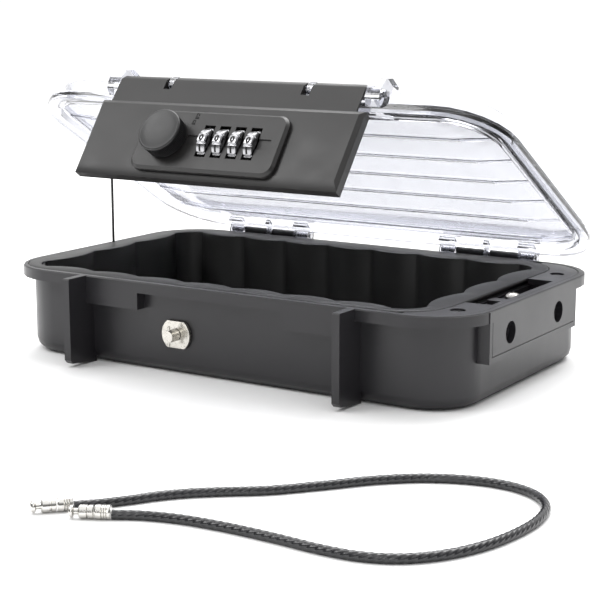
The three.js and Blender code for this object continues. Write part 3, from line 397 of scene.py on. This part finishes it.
def new_piece(name: str, vertices: np.ndarray, faces: list, finish: Finish, body: str, slot: str,
              replaces: Iterable[str] = (), sharp: float = 35.0) -> bpy.types.Object:
    """Makes a piece from vertices in millimetres.

    Args:
        name: the piece's name.
        vertices: N by 3 places, in the frame, in millimetres.
        faces: lists of vertex numbers, facing out.
        finish: what it is made of.
        body: the CAD body that it rides on.
        slot: the record's material slot; not used.
        replaces: CAD nodes that it stands for.
        sharp: edges that turn more than this many degrees stay sharp.
    Returns:
        The piece.
    """
    mesh = bpy.data.meshes.new(name)
    mesh.from_pydata((np.asarray(vertices) * MM).tolist(), [], faces)
    mesh.validate()
    piece = bpy.data.objects.new(name, mesh)
    bpy.context.collection.objects.link(piece)
    return settle(piece, finish, body, replaces, sharp)


def settle(piece: bpy.types.Object, finish: Finish, body: str,
           replaces: Iterable[str] = (), sharp: float = 35.0) -> bpy.types.Object:
    """Shades, dresses and attaches a finished piece.

    Args:
        piece: the piece, in place.
        finish: what it is made of.
        body: the CAD body that it rides on.
        replaces: CAD nodes that it stands for.
        sharp: edges that turn more than this many degrees stay sharp.
    Returns:
        The same piece.
    """
    smooth(piece, sharp)
    dress(piece, finish)
    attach(piece, body)
    if replaces:
        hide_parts(*replaces)
    LOG.info("%s: %d vertices on %s", piece.name, len(piece.data.vertices), body)
    return piece


def smooth(piece: bpy.types.Object, sharp: float) -> None:
    """Shades a piece smooth.

    Args:
        piece: the piece.
        sharp: edges that turn more than this many degrees stay sharp.
    """
    piece.data.shade_smooth()
    piece.data.set_sharp_from_angle(angle=math.radians(sharp))


@dataclass
class Cable:
    """The loose security cable: twisted strands under a jacket, with a plug at each end.

    Attributes:
        route_mm: places along the cable on the table, from one ferrule to the other.
        radius: outside radius of the jacket.
        strands: strands that show through the jacket.
        lay_length: length of one turn of a strand.
        relief: how far the strands lift the jacket.
        plug_r: radius of the ferrules.
        steps: rings along the cable.
        sides: points round each ring.
    """

    route_mm: tuple[tuple[float, float], ...] = (
        (59.5, -230.1), (65.2, -223.9), (71.2, -215.8), (76.9, -207.2), (83.6, -199.7), (92.1, -192.6),
        (104, -183.4), (116.4, -169.6), (129.2, -154.3), (143.6, -142.8), (158.6, -136.9), (171.6, -136.4),
        (182.1, -140.7), (189.2, -149.2), (192.2, -160.6), (191.9, -175.7), (188, -192.9), (181, -206.5),
        (171.9, -215.6), (161.3, -220.2), (148.4, -221.4), (131.4, -220.6), (111.8, -220.6), (96, -222.3),
        (84.6, -225.6), (75.5, -230.3),
    )
    radius: float = 1.6
    strands: int = 6
    lay_length: float = 17.0
    relief: float = 0.16
    plug_r: float = 2.4
    steps: int = 900
    sides: int = 40

    def centreline(self) -> np.ndarray:
        """Runs a centripetal Catmull-Rom spline through the route.

        Returns:
            Evenly spaced places along the cable, in millimetres.
        """
        p = np.array([(x, y, self.radius) for x, y in self.route_mm])
        p = np.vstack([2 * p[0] - p[1], p, 2 * p[-1] - p[-2]])
        curve = []
        for a, b, c, d in zip(p[:-3], p[1:-2], p[2:-1], p[3:]):
            t1 = np.linalg.norm(b - a) ** 0.5
            t2 = t1 + np.linalg.norm(c - b) ** 0.5
            t3 = t2 + np.linalg.norm(d - c) ** 0.5
            t = np.linspace(t1, t2, 60, endpoint=False)[:, None]
            a1 = (t1 - t) / t1 * a + t / t1 * b
            a2 = (t2 - t) / (t2 - t1) * b + (t - t1) / (t2 - t1) * c
            a3 = (t3 - t) / (t3 - t2) * c + (t - t2) / (t3 - t2) * d
            b1 = (t2 - t) / t2 * a1 + t / t2 * a2
            b2 = (t3 - t) / (t3 - t1) * a2 + (t - t1) / (t3 - t1) * a3
            curve.append((t2 - t) / (t2 - t1) * b1 + (t - t1) / (t2 - t1) * b2)
        curve = np.vstack(curve + [p[-2:-1]])
        run = np.concatenate([[0], np.cumsum(np.linalg.norm(np.diff(curve, axis=0), axis=1))])
        even = np.linspace(0, run[-1], self.steps)
        return np.stack([np.interp(even, run, curve[:, k]) for k in range(3)], axis=1)

    def build(self) -> None:
        line = self.centreline()
        along = np.gradient(line, axis=0)
        along /= np.linalg.norm(along, axis=1)[:, None]
        up = np.array([0.0, 0.0, 1.0])
        side = np.cross(along, up)
        run = np.linspace(0, np.linalg.norm(np.diff(line, axis=0), axis=1).sum(), len(line))
        turn = np.linspace(0, TAU, self.sides, endpoint=False)
        # Each strand is a rounded ridge that winds along the cable.
        phase = self.strands * (turn[None, :] - TAU * run[:, None] / self.lay_length)
        r = self.radius - self.relief * (1 - np.abs(np.cos(phase / 2)))
        around = np.cos(turn)[None, :, None] * side[:, None, :] + np.sin(turn)[None, :, None] * up
        surface = line[:, None, :] + r[..., None] * around
        vertices, faces = grid(surface, wrap=True, capped=True)
        cable = new_piece("cable", vertices, faces, Finish.JACKET, "tray", "cable_jacket",
                          ["security_cable"], 60)
        # A plug points along the last four steps of the cable.
        plugs = [self.plug("a", line[0], line[0] - line[4]), self.plug("b", line[-1], line[-1] - line[-5])]

    def plug(self, letter: str, end: np.ndarray, away: np.ndarray) -> list[bpy.types.Object]:
        """One plug: a crimped ferrule and a turned, slotted pin with a ball end.

        Args:
            letter: "a" or "b".
            end: the cable's end.
            away: direction from the cable to the plug.
        Returns:
            The ferrule and the pin.
        """
        r = self.plug_r
        crimps = [(r - 0.02, s) for s in (0.3, 0.9)]
        for s in (1.5, 2.3, 3.1):
            crimps += [(r, s - 0.25), (r - 0.28, s), (r, s + 0.25)]
        ferrule = [(0, 0.3), (r - 0.25, 0.3), (r, 0.55)] + crimps[1:] + [(r, 4.9), (r - 0.3, 5.4), (0, 5.4)]
        pin = [(0, 5.7), (r - 0.4, 5.7), (r - 0.15, 5.95), (r - 0.15, 7.2), (r - 0.5, 7.35), (r - 0.5, 7.75),
               (r - 0.15, 7.9), (r - 0.15, 10.1), (r - 0.6, 10.6), (1.25, 10.65), (1.1, 10.9), (1.1, 12.1),
               (1.6, 12.2), (2.0, 12.55), (2.1, 12.9), (2.0, 13.35), (1.6, 13.8), (0.9, 14.1), (0, 14.2)]
        z = Vector(tuple(away / np.linalg.norm(away)))
        x = z.orthogonal().normalized()
        basis = np.array([x, z.cross(x), z])
        base = np.array([end[0], end[1], r])
        pieces = []
        for kind, profile in (("ferrule", ferrule), ("pin", pin)):
            local, faces = lathe(profile, 64)
            placed = base + local @ basis
            node = f"cable_{kind}_{letter}"
            piece = new_piece(f"plug_{kind}_{letter}", placed, faces, Finish.NICKEL, "tray", "nickel",
                              [node], 30)
            pieces.append(piece)
        return pieces


# --------------------------------------------------------------------------- surfaces


def grid(surface: np.ndarray, wrap: bool, capped: bool) -> tuple[np.ndarray, list]:
    """Joins rings of places into quads.

    Args:
        surface: rings by places by 3. Rings run so that their faces look outwards.
        wrap: whether each ring closes on itself.
        capped: whether the first and the last ring are closed by one face each.
    Returns:
        Vertices and faces.
    """
    rings, count = surface.shape[:2]
    i = np.arange(count if wrap else count - 1)
    j = (i + 1) % count
    k = np.arange(rings - 1)[:, None] * count
    quads = np.stack([k + i, k + j, k + count + j, k + count + i], axis=-1).reshape(-1, 4)
    faces = quads.tolist()
    if capped:
        faces.append(list(range(count))[::-1])
        faces.append([(rings - 1) * count + n for n in range(count)])
    return surface.reshape(-1, 3), faces


def lathe(profile: Sequence[tuple[float, float]], sides: int) -> tuple[np.ndarray, list]:
    """Turns a profile of radius and height about Z. It starts and ends on the axis, rising.

    Args:
        profile: radius and height pairs.
        sides: places round the axis.
    Returns:
        Vertices and faces.
    """
    turn = np.linspace(0, TAU, sides, endpoint=False)
    inner = np.array(profile[1:-1])
    rings = np.stack([
        inner[:, :1] * np.cos(turn), inner[:, :1] * np.sin(turn), np.repeat(inner[:, 1:], sides, axis=1),
    ], axis=-1)
    vertices, faces = grid(rings, wrap=True, capped=False)
    poles = np.array([[0, 0, profile[0][1]], [0, 0, profile[-1][1]]])
    first, last, count = len(vertices), len(vertices) + 1, (len(inner) - 1) * sides
    for i in range(sides):
        j = (i + 1) % sides
        faces.append([first, j, i])
        faces.append([last, count + i, count + j])
    return np.vstack([vertices, poles]), faces


# --------------------------------------------------------------------------- pieces rounded from the CAD


def refined(source: bpy.types.Object, finish: Finish, body: str, edge_mm: float,
            sharp: float = 35.0) -> bpy.types.Object:
    """Makes a smooth, round-edged copy of a CAD piece, which stands for it.

    Args:
        source: the CAD piece.
        finish: what it is made of.
        body: the CAD body that it rides on.
        edge_mm: width of the rounding on its edges.
        sharp: edges that turn more than this many degrees stay edges.
    Returns:
        The copy.
    """
    work = bmesh.new()
    work.from_mesh(source.data)
    work.transform(source.matrix_world)
    bmesh.ops.remove_doubles(work, verts=work.verts, dist=0.002 * MM)
    bmesh.ops.dissolve_limit(work, angle_limit=math.radians(0.5), verts=work.verts, edges=work.edges)
    mesh = bpy.data.meshes.new(source.name + "_smooth")
    work.to_mesh(mesh)
    work.free()
    piece = bpy.data.objects.new(source.name + "_smooth", mesh)
    bpy.context.collection.objects.link(piece)
    settle(piece, finish, body, [source.name], sharp)
    round_edges(piece, edge_mm)
    return piece


def round_edges(piece: bpy.types.Object, width_mm: float, segments: int = 2) -> None:
    """Rounds a piece's sharp edges, and keeps its flat faces flat.

    Args:
        piece: the piece.
        width_mm: width of the rounding.
        segments: faces across the rounding.
    """
    bevel = piece.modifiers.new("rounded_edges", "BEVEL")
    bevel.width, bevel.segments = width_mm * MM, segments
    bevel.limit_method, bevel.angle_limit = "ANGLE", math.radians(35)
    weighted = piece.modifiers.new("flat_faces_flat", "WEIGHTED_NORMAL")
    weighted.weight, weighted.keep_sharp = 100, False


@dataclass(frozen=True)
class Smoothed:
    """CAD pieces that share a finish and an edge.

    Attributes:
        names: the CAD pieces.
        finish: what they are made of.
        body: the CAD body that they ride on.
        slot: the record's material slot; not used.
        edge_mm: width of the rounding on their edges.
    """

    names: tuple[str, ...]
    finish: Finish
    body: str
    slot: str
    edge_mm: float

    def build(self, nodes: dict[str, bpy.types.Object]) -> None:
        """Makes the smooth copies.

        Args:
            nodes: the CAD pieces by name.
        """
        for name in self.names:
            refined(nodes[name], self.finish, self.body, self.edge_mm)


SMOOTHED = (
    Smoothed(("base_tray",), Finish.TRAY, "tray", "tray_plastic", 0.35),
    Smoothed(("end_cover",), Finish.TRAY, "tray", "tray_plastic", 0.2),
    Smoothed(("release_slide",), Finish.TRAY, "slide", "tray_plastic", 0.2),
    Smoothed(("slide_screw",), Finish.STEEL, "slide", "steel", 0.1),
    Smoothed(("stud_plate", "lock_stud", "stud_cross_pin"), Finish.STEEL, "tray", "steel", 0.12),
    Smoothed(("hinge_pin_left", "hinge_pin_right"), Finish.PIN, "tray", "pin_steel", 0.15),
    Smoothed(("end_cover_screw_1", "end_cover_screw_2"), Finish.BLACK_SCREW, "tray", "black_screw", 0.08),
    Smoothed(("stay_foot",), Finish.STAY, "tray", "stay_plastic", 0.1),
    Smoothed(("lid_shell",), Finish.CLEAR, "lid", "clear_plastic", 0.25),
    Smoothed(("stay_button",), Finish.STAY, "lid", "stay_plastic", 0.1),
    Smoothed(("latch_pin",), Finish.PIN, "lid", "pin_steel", 0.15),
    Smoothed(("latch_plate",), Finish.LATCH, "latch", "latch_plastic", 0.5),
    Smoothed(("lock_housing",), Finish.LATCH, "latch", "latch_plastic", 0.25),
    Smoothed(("lock_back_cover",), Finish.LATCH, "latch", "latch_plastic", 0.2),
    Smoothed(("knob_cup",), Finish.STEEL, "knob", "steel", 0.12),
    Smoothed(("wheel_spindle",), Finish.PIN, "latch", "pin_steel", 0.08),
    Smoothed(("detent_leaf",), Finish.STEEL, "latch", "steel", 0.06),
    Smoothed(("back_cover_screw_1", "back_cover_screw_2"), Finish.STEEL, "latch", "steel", 0.06),
)


def paint_rib_highlights(lid: bpy.types.Object, highlight_finish: bpy.types.Material) -> None:
    """Gives the ribs under the lid's panel a pale, hazy finish of their own: a painted highlight for the top
    light that they catch.

    Args:
        lid: the lid, lying open.
        highlight_finish: the ribs' material, which paints their highlight.
    """
    lid.data.materials.append(highlight_finish)
    turn = math.radians(31)
    rows = np.array([-47.0, -27.0, -7.0, 13.0, 33.0, 53.0])
    for face in lid.data.polygons:
        _, y, z = face.center / MM
        # The middle of the face with the lid shut: turned back about the hinge at Y 75, Z 41.
        shut_y = 75 + (y - 75) * math.cos(turn) - (z - 41) * math.sin(turn)
        shut_z = 41 + (y - 75) * math.sin(turn) + (z - 41) * math.cos(turn)
        # Faces on the ribs' undersides take the pale finish, a painted highlight.
        if shut_z < 43.1 and shut_z > 42.0 and np.abs(rows - shut_y).min() < 0.75:
            face.material_index = 1


# --------------------------------------------------------------------------- liner


@dataclass(frozen=True)
class Liner:
    """The dished rubber liner, whose cavity has lobes all round its wall.

    Attributes:
        cavity: left, right, front and back of the cavity at the top.
        corner: radius of the cavity's corners.
        lobe: how far a lobe stands into the cavity.
        lobes: lobes on a long side and on a short side.
        top: height of the flange's top.
        floor: height of the cavity's floor.
    """

    cavity: tuple[float, float, float, float] = (-109.0, 94.0, -62.3, 59.0)
    corner: float = 12.0
    lobe: float = 4.4
    lobes: tuple[int, int] = (7, 3)
    top: float = 40.5
    floor: float = 6.0
    lobe_steps: int = 22
    corner_steps: int = 14

    def outline(self, rect: tuple[float, float, float, float], r: float, lobe: float) -> np.ndarray:
        """A rounded rectangle whose straight sides carry lobes, as places by X and Y.

        A lobe's height over its side is lobe times |sin| to the power 0.65 of how far along it is, with a
        little added so that the valley between two lobes is round.

        Args:
            rect: left, right, front and back.
            r: radius of the corners.
            lobe: height of the lobes, or 0 for straight sides.
        Returns:
            The outline, anticlockwise from the front left.
        """
        x0, x1, y0, y1 = rect
        sides = (
            ((x0 + r, y0), (1, 0), (0, 1), x1 - x0 - 2 * r, self.lobes[0]),
            ((x1, y0 + r), (0, 1), (-1, 0), y1 - y0 - 2 * r, self.lobes[1]),
            ((x1 - r, y1), (-1, 0), (0, -1), x1 - x0 - 2 * r, self.lobes[0]),
            ((x0, y1 - r), (0, -1), (1, 0), y1 - y0 - 2 * r, self.lobes[1]),
        )
        parts = []
        for start, along, inward, length, count in sides:
            start, along, inward = np.array(start), np.array(along), np.array(inward)
            s = np.linspace(0, 1, count * self.lobe_steps + 1)[:, None]
            rise = lobe * (np.sin(np.pi * s * count) ** 2 + 0.015) ** 0.325
            parts.append(start + along * length * s + inward * rise)
            turn = np.linspace(0, np.pi / 2, self.corner_steps + 2)[1:-1, None]
            centre = start + along * length + inward * r
            parts.append(centre + r * (along * np.sin(turn) - inward * np.cos(turn)))
        return np.vstack(parts)

    def build(self, flange: tuple[float, float, float, float], flange_r: float, flange_t: float) -> None:
        """Makes the liner.

        Args:
            flange: left, right, front and back of the flange.
            flange_r: radius of its corners.
            flange_t: its thickness.
        """
        x0, x1, y0, y1 = flange
        body = (x0 + 6, x1 - 3, y0 + 6, y1 - 6)
        body_r = max(flange_r - 2.5, 4)
        wide, tight = 0.0, 0.3
        levels = [
            (body, body_r, 0, self.floor - 1.6), (body, body_r, 0, self.top - flange_t),
            (flange, flange_r, 0, self.top - flange_t), (flange, flange_r, 0, self.top - tight),
            ((x0 + tight, x1 - tight, y0 + tight, y1 - tight), flange_r - tight, 0, self.top),
        ]
        a, b, c, d = self.cavity
        for inset, z in ((wide - 0.5, self.top), (wide - 0.12, self.top - 0.16), (wide, self.top - 0.5),
                         (0.7, self.floor + 4), (1.2, self.floor + 1.6), (2.4, self.floor + 0.4),
                         (4.2, self.floor)):
            rect = (a + inset, b - inset, c + inset, d - inset)
            levels.append((rect, self.corner - min(inset, 3) * 0.8, self.lobe, z))
        rings = []
        for rect, r, lobe, z in levels:
            flat = self.outline(rect, r, lobe)
            rings.append(np.column_stack([flat, np.full(len(flat), z)]))
        vertices, faces = grid(np.stack(rings), wrap=True, capped=True)
        new_piece("liner_lobed", vertices, faces, Finish.RUBBER, "tray", "liner_rubber", ["liner"], 50)


# --------------------------------------------------------------------------- lock

PIN_CLOSED = np.array([0.0, -71.0, 50.5])  # the latch's pin, in millimetres, with the box shut


@dataclass(frozen=True)
class Tilt:
    """Turns places on the closed latch to where the latch rests.

    Attributes:
        pin_rest: the latch's pin where it rests.
        angle: how far the latch has tipped back, in degrees.
    """

    pin_rest: tuple[float, float, float] = (0.0, -45.2536, 124.3386)
    angle: float = 36.0

    def __call__(self, places: np.ndarray) -> np.ndarray:
        """Turns places on the latch.

        Args:
            places: N by 3 places on the closed latch, in millimetres.
        Returns:
            The same places where the latch rests.
        """
        a = -math.radians(self.angle)
        x, y, z = (np.asarray(places) - PIN_CLOSED).T
        turned = np.stack([x, y * math.cos(a) - z * math.sin(a), y * math.sin(a) + z * math.cos(a)], axis=1)
        return turned + np.array(self.pin_rest)


TO_REST = Tilt()


@dataclass(frozen=True)
class Knob:
    """The lock's knob: a dished face and fine ridges round its side.

    Attributes:
        x, z: its axis.
        back: Y of its back, with the box shut.
        radius: outside radius.
        height: its height.
        ridges: ridges round its side.
        ridge: their depth.
        dish: how deep the face is dished.
    """

    x: float = -20.6
    z: float = 18.3
    back: float = -80.7
    radius: float = 10.0
    height: float = 7.4
    ridges: int = 90
    ridge: float = 0.22
    dish: float = 0.55

    def build(self) -> None:
        """Makes the knob, whose bore hides inside it."""
        turn = np.linspace(0, TAU, self.ridges * 8, endpoint=False)
        r, h = self.radius, self.height
        # Radius, height and how much of the ridges shows at each ring, from the back to the face.
        profile = np.array([
            (2.0, 0, 0), (r - 0.9, 0, 0), (r - 0.5, 0.15, 0), (r - 0.32, 0.6, 0), (r - 0.3, 1.0, 1),
            (r - 0.15, 3.4, 1), (r - 0.06, h - 1.3, 1), (r, h - 1.1, 0), (r, h - 0.75, 0),
            (r - 0.12, h - 0.38, 0), (r - 0.38, h - 0.12, 0), (r - 0.75, h, 0),
            (r - 1.15, h - 0.04, 0), (r - 1.9, h - 0.2, 0), (r - 3.4, h - 0.36, 0),
            (r - 6, h - 0.48, 0), (r - 8.5, h - self.dish + 0.02, 0), (0.6, h - self.dish, 0),
        ])
        wave = 0.5 + 0.5 * np.cos(self.ridges * turn)
        radius = profile[:, :1] - self.ridge * profile[:, 2:] * wave[None, :]
        rings = np.stack([
            self.x + radius * np.cos(turn), self.back - np.repeat(profile[:, 1:2], len(turn), axis=1),
            self.z + radius * np.sin(turn),
        ], axis=-1)
        vertices, faces = grid(rings, wrap=True, capped=True)
        new_piece("knob_ridged", TO_REST(vertices), faces, Finish.KNOB, "knob", "latch_plastic",
                  ["lock_knob"], 40)


@dataclass(frozen=True)
class DigitWheel:
    """One wheel of the lock: ten plated faces with a digit on each.

    Attributes:
        number: 1 to 4, from the left.
        x: its middle.
        y, z: its axis, with the box shut.
        radius: outside radius.
        width: its width.
    """

    number: int
    x: float
    y: float = -76.4
    z: float = 18.3
    radius: float = 7.2
    width: float = 4.3

    def build(self, digits: list[tuple[np.ndarray, list]]) -> None:
        """Makes the wheel and its digits.

        Args:
            digits: the flat shapes of 0 to 9.
        """
        body, slot = f"wheel_{self.number}", "wheel_chrome"
        node = f"digit_wheel_{self.number}"
        wheel = new_piece(f"wheel_{self.number}_plated", *self.shape(), Finish.CHROME, body, slot, [node], 32)
        places, faces, start = [], [], 0
        for value, (flat, flat_faces) in enumerate(digits):
            faces += [[i + start for i in face] for face in flat_faces]
            places.append(self.wrapped(flat, -value * TAU / 10))
            start += len(flat)
        new_piece(f"wheel_{self.number}_digits", TO_REST(np.vstack(places)), faces, Finish.INK, body, slot)
        LOG.info("%s carries ten digits", wheel.name)

    def shape(self) -> tuple[np.ndarray, list]:
        """Shapes the wheel. Each of its ten faces ends in a notch that is deeper at the sides.

        Returns:
            Its places in millimetres where the latch rests, and its faces.
        """
        half, r = self.width / 2, self.radius
        across = np.array([-half, -half, -half + 0.12, -half + 0.45, -0.9, 0.0, 0.9, half - 0.45,
                           half - 0.12, half, half])
        full = np.array([1.7, r - 0.75, r - 0.42, r - 0.06, r, r, r, r - 0.06, r - 0.42, r - 0.75, 1.7])
        turn = np.linspace(0, TAU, 480, endpoint=False)
        from_notch = np.abs((turn * 10 / TAU) % 1 - 0.5) * TAU / 10 * r
        notch = np.exp(-((from_notch / 0.3) ** 2))[None, :]
        deep = (0.28 + 0.75 * (np.abs(across) / half) ** 6)[:, None] * (full > 2)[:, None]
        radius = full[:, None] - deep * notch
        rings = np.stack([
            np.repeat(self.x + across[:, None], len(turn), axis=1),
            self.y - radius * np.cos(turn), self.z + radius * np.sin(turn),
        ], axis=-1)
        rings = np.concatenate([rings, rings[:1]])[::-1]
        vertices, faces = grid(rings, wrap=True, capped=False)
        return TO_REST(vertices), faces

    def wrapped(self, flat: np.ndarray, turn: float) -> np.ndarray:
        """Lays a flat shape round the wheel.

        Args:
            flat: places in millimetres across, up and out of the shape.
            turn: the shape's angle up from the wheel's front, in radians.
        Returns:
            The places on the closed latch, in millimetres.
        """
        angle = turn + flat[:, 1] / self.radius
        r = self.radius + flat[:, 2]
        return np.column_stack([self.x + flat[:, 0], self.y - r * np.cos(angle), self.z + r * np.sin(angle)])


def digit_shapes(height: float) -> list[tuple[np.ndarray, list]]:
    """The digits 0 to 9 as thin closed shapes about their middles, in millimetres.

    Args:
        height: height of a digit.
    Returns:
        Vertices and faces for each digit.
    """
    shapes = []
    for value in range(10):
        curve = bpy.data.curves.new("digit", "FONT")
        curve.body, curve.align_x, curve.align_y = str(value), "CENTER", "CENTER"
        curve.extrude, curve.offset, curve.resolution_u = 0.01, 0.065, 5
        text = bpy.data.objects.new("digit", curve)
        bpy.context.collection.objects.link(text)
        work = bmesh.new()
        work.from_mesh(text.to_mesh())
        # Cuts across the digit let it follow the wheel's curve.
        for y in np.linspace(-0.36, 0.44, 17):
            everything = work.verts[:] + work.edges[:] + work.faces[:]
            bmesh.ops.bisect_plane(work, geom=everything, plane_co=(0, y, 0), plane_no=(0, 1, 0))
        work.verts.index_update()
        places = np.array([v.co[:] for v in work.verts])
        faces = [[v.index for v in face.verts] for face in work.faces]
        work.free()
        text.to_mesh_clear()
        bpy.data.objects.remove(text)
        bpy.data.curves.remove(curve)
        low, high = places.min(axis=0), places.max(axis=0)
        places[:, :2] -= (low[:2] + high[:2]) / 2
        scale = height / (high[1] - low[1])
        places[:, :2] *= scale * np.array([1.05, 1.0])
        places[:, 2] = np.where(places[:, 2] > 0, 0.04, -0.05)
        shapes.append((places, faces))
    return shapes


@dataclass(frozen=True)
class Padlock:
    """A small raised padlock sign on the lock's face.

    Attributes:
        name: the piece's name.
        x, z: its middle.
        size: width of its body.
        swing: how far the shackle is lifted when it is drawn open.
        front: Y of the face that it stands on, with the box shut.
    """

    name: str
    x: float
    z: float
    size: float = 1.7
    swing: float = 0.0
    front: float = -80.4

    def build(self) -> None:
        """Makes the sign: a rounded body and a bent shackle."""
        half = self.size / 2
        turn = np.linspace(0, TAU, 32, endpoint=False)
        # A circle whose sine and cosine are raised to a small power is a square with round corners.
        square = [np.abs(wave) ** 0.35 * np.sign(wave) for wave in (np.cos(turn), np.sin(turn))]
        rings = []
        for scale, out in ((1.0, -0.05), (1.0, 0.1), (0.86, 0.16), (0.4, 0.16)):
            rings.append(np.column_stack([
                self.x + half * scale * square[0], np.full(32, self.front - out),
                self.z - 0.35 * self.size + 0.62 * half * scale * square[1],
            ]))
        body, body_faces = grid(np.stack(rings), wrap=True, capped=True)
        bend = np.linspace(0, np.pi, 20)
        legs = 0.3 * self.size + self.swing
        top = 0.25 * self.size + legs * 0.5
        path = np.column_stack([0.62 * half * np.cos(bend), top + 0.62 * half * np.sin(bend)])
        path = np.vstack([[0.62 * half, self.swing], path, [-0.62 * half, 0.0]])
        ahead = np.gradient(path, axis=0)
        ahead /= np.linalg.norm(ahead, axis=1)[:, None]
        side = np.column_stack([ahead[:, 1], -ahead[:, 0]])
        circle = np.linspace(0, TAU, 10, endpoint=False)
        flat = path[:, None, :] + 0.17 * np.cos(circle)[None, :, None] * side[:, None, :]
        tube = np.stack([
            self.x + flat[..., 0],
            self.front - 0.05 - 0.14 * np.repeat(np.sin(circle)[None], len(path), axis=0),
            self.z + flat[..., 1] - 0.1,
        ], axis=-1)
        shackle, shackle_faces = grid(tube, wrap=True, capped=True)
        faces = body_faces + [[i + len(body) for i in face] for face in shackle_faces]
        places = TO_REST(np.vstack([body, shackle]))
        new_piece(self.name, places, faces, Finish.INK, "latch", "latch_plastic", sharp=50)


def build_lock() -> None:
    """Makes the knob, the wheels and the signs."""
    Knob().build()
    digits = digit_shapes(3.1)
    for i in range(4):
        DigitWheel(i + 1, 10.6 + (i - 1.5) * 7.84).build(digits)
    Padlock("sign_open", -9.6, 29.9, 1.9, swing=0.5).build()
    Padlock("sign_shut", -10.4, 27.0, 1.7).build()


# --------------------------------------------------------------------------- studio


@dataclass(frozen=True)
class SoftBox:
    """One soft light that looks at a place.

    Attributes:
        name: the light's name.
        place: where it hangs, in metres.
        target: what it looks at, in metres.
        size: width and height, in metres.
        watts: its power.
    """

    name: str
    place: tuple[float, float, float]
    target: tuple[float, float, float]
    size: tuple[float, float]
    watts: float

    def build(self) -> None:
        """Makes the light."""
        data = bpy.data.lights.new(self.name, "AREA")
        data.shape, (data.size, data.size_y), data.energy = "RECTANGLE", self.size, self.watts
        light = bpy.data.objects.new(self.name, data)
        light.location = self.place
        light.rotation_euler = (Vector(self.target) - Vector(self.place)).to_track_quat("-Z", "Y").to_euler()
        bpy.context.collection.objects.link(light)


class Studio:
    """A white sweep, a surround that is brightest behind the box, and soft boxes."""

    LIGHTS = (
        SoftBox("key", (-0.75, -0.8, 1.0), (0, 0, 0.03), (0.6, 0.5), 5),
        SoftBox("top", (-0.1, 0.6, 1.25), (0, 0, 0.05), (1.3, 0.8), 18),
        SoftBox("front", (0.55, -1.3, 0.6), (0.05, -0.1, 0.03), (0.25, 0.9), 3),
    )
    BEHIND = (-0.53, 0.85, 0.0)
    DIM, BRIGHT, OVERHEAD = 0.22, 1.05, 1.25

    def build(self) -> None:
        """Makes the floor, the surround and the lights."""
        bpy.context.scene.view_settings.view_transform = "Standard"
        bpy.context.scene.world = self.surround()
        mesh = bpy.data.meshes.new("floor")
        mesh.from_pydata([(-6, -6, 0), (6, -6, 0), (6, 6, 0), (-6, 6, 0)], [], [(0, 1, 2, 3)])
        floor = bpy.data.objects.new("floor", mesh)
        bpy.context.collection.objects.link(floor)
        s = Shader("paper_white_sweep")
        s.set(Base_Color=(0.93, 0.93, 0.93, 1), Roughness=s.remap(s.noise(3), 0.75, 0.85))
        mesh.materials.append(s.material)
        for light in self.LIGHTS:
            light.build()

    def surround(self) -> bpy.types.World:
        """Makes a white surround that fades from behind the box to the front, and is bright above.

        Returns:
            The world.
        """
        world = bpy.data.worlds.new("surround")
        world.use_nodes = True
        nodes, links = world.node_tree.nodes, world.node_tree.links
        coords = nodes.new("ShaderNodeTexCoord")
        dot = nodes.new("ShaderNodeVectorMath")
        dot.operation = "DOT_PRODUCT"
        dot.inputs[1].default_value = self.BEHIND
        fade = nodes.new("ShaderNodeMapRange")
        fade.interpolation_type = "SMOOTHSTEP"
        spread = {"From Min": -0.1, "From Max": 0.7, "To Min": self.DIM, "To Max": self.BRIGHT}
        for name, value in spread.items():
            fade.inputs[name].default_value = value
        links.new(coords.outputs["Generated"], dot.inputs[0])
        links.new(dot.outputs["Value"], fade.inputs["Value"])
        height = nodes.new("ShaderNodeSeparateXYZ")
        links.new(coords.outputs["Generated"], height.inputs[0])
        above = nodes.new("ShaderNodeMapRange")
        above.interpolation_type = "SMOOTHSTEP"
        rise = {"From Min": 0.35, "From Max": 0.9, "To Min": 0.0, "To Max": self.OVERHEAD}
        for name, value in rise.items():
            above.inputs[name].default_value = value
        links.new(height.outputs["Z"], above.inputs["Value"])
        both = nodes.new("ShaderNodeMath")
        both.operation = "ADD"
        links.new(fade.outputs[0], both.inputs[0])
        links.new(above.outputs[0], both.inputs[1])
        background = nodes["Background"]
        background.inputs["Color"].default_value = (1, 1, 1, 1)
        links.new(both.outputs[0], background.inputs["Strength"])
        return world


def main() -> None:
    """Builds the scene."""
    logging.basicConfig(level=logging.INFO, format="%(name)s %(message)s")
    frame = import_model()
    View().build()
    Cable().build()
    for group in SMOOTHED:
        group.build(frame["nodes"])
    # The lid's ribs get a pale, hazy finish that paints their highlight.
    paint_rib_highlights(bpy.data.objects["lid_shell_smooth"], made(Finish.PAINTED_RIB_HIGHLIGHT))
    dress(frame["nodes"]["stay_cord"], Finish.STAY)
    Liner().build(flange=(-116.9, 101.9, -68.7, 68.7), flange_r=22.0, flange_t=1.1)
    build_lock()
    Studio().build()


if __name__ == "__main__":
    main()
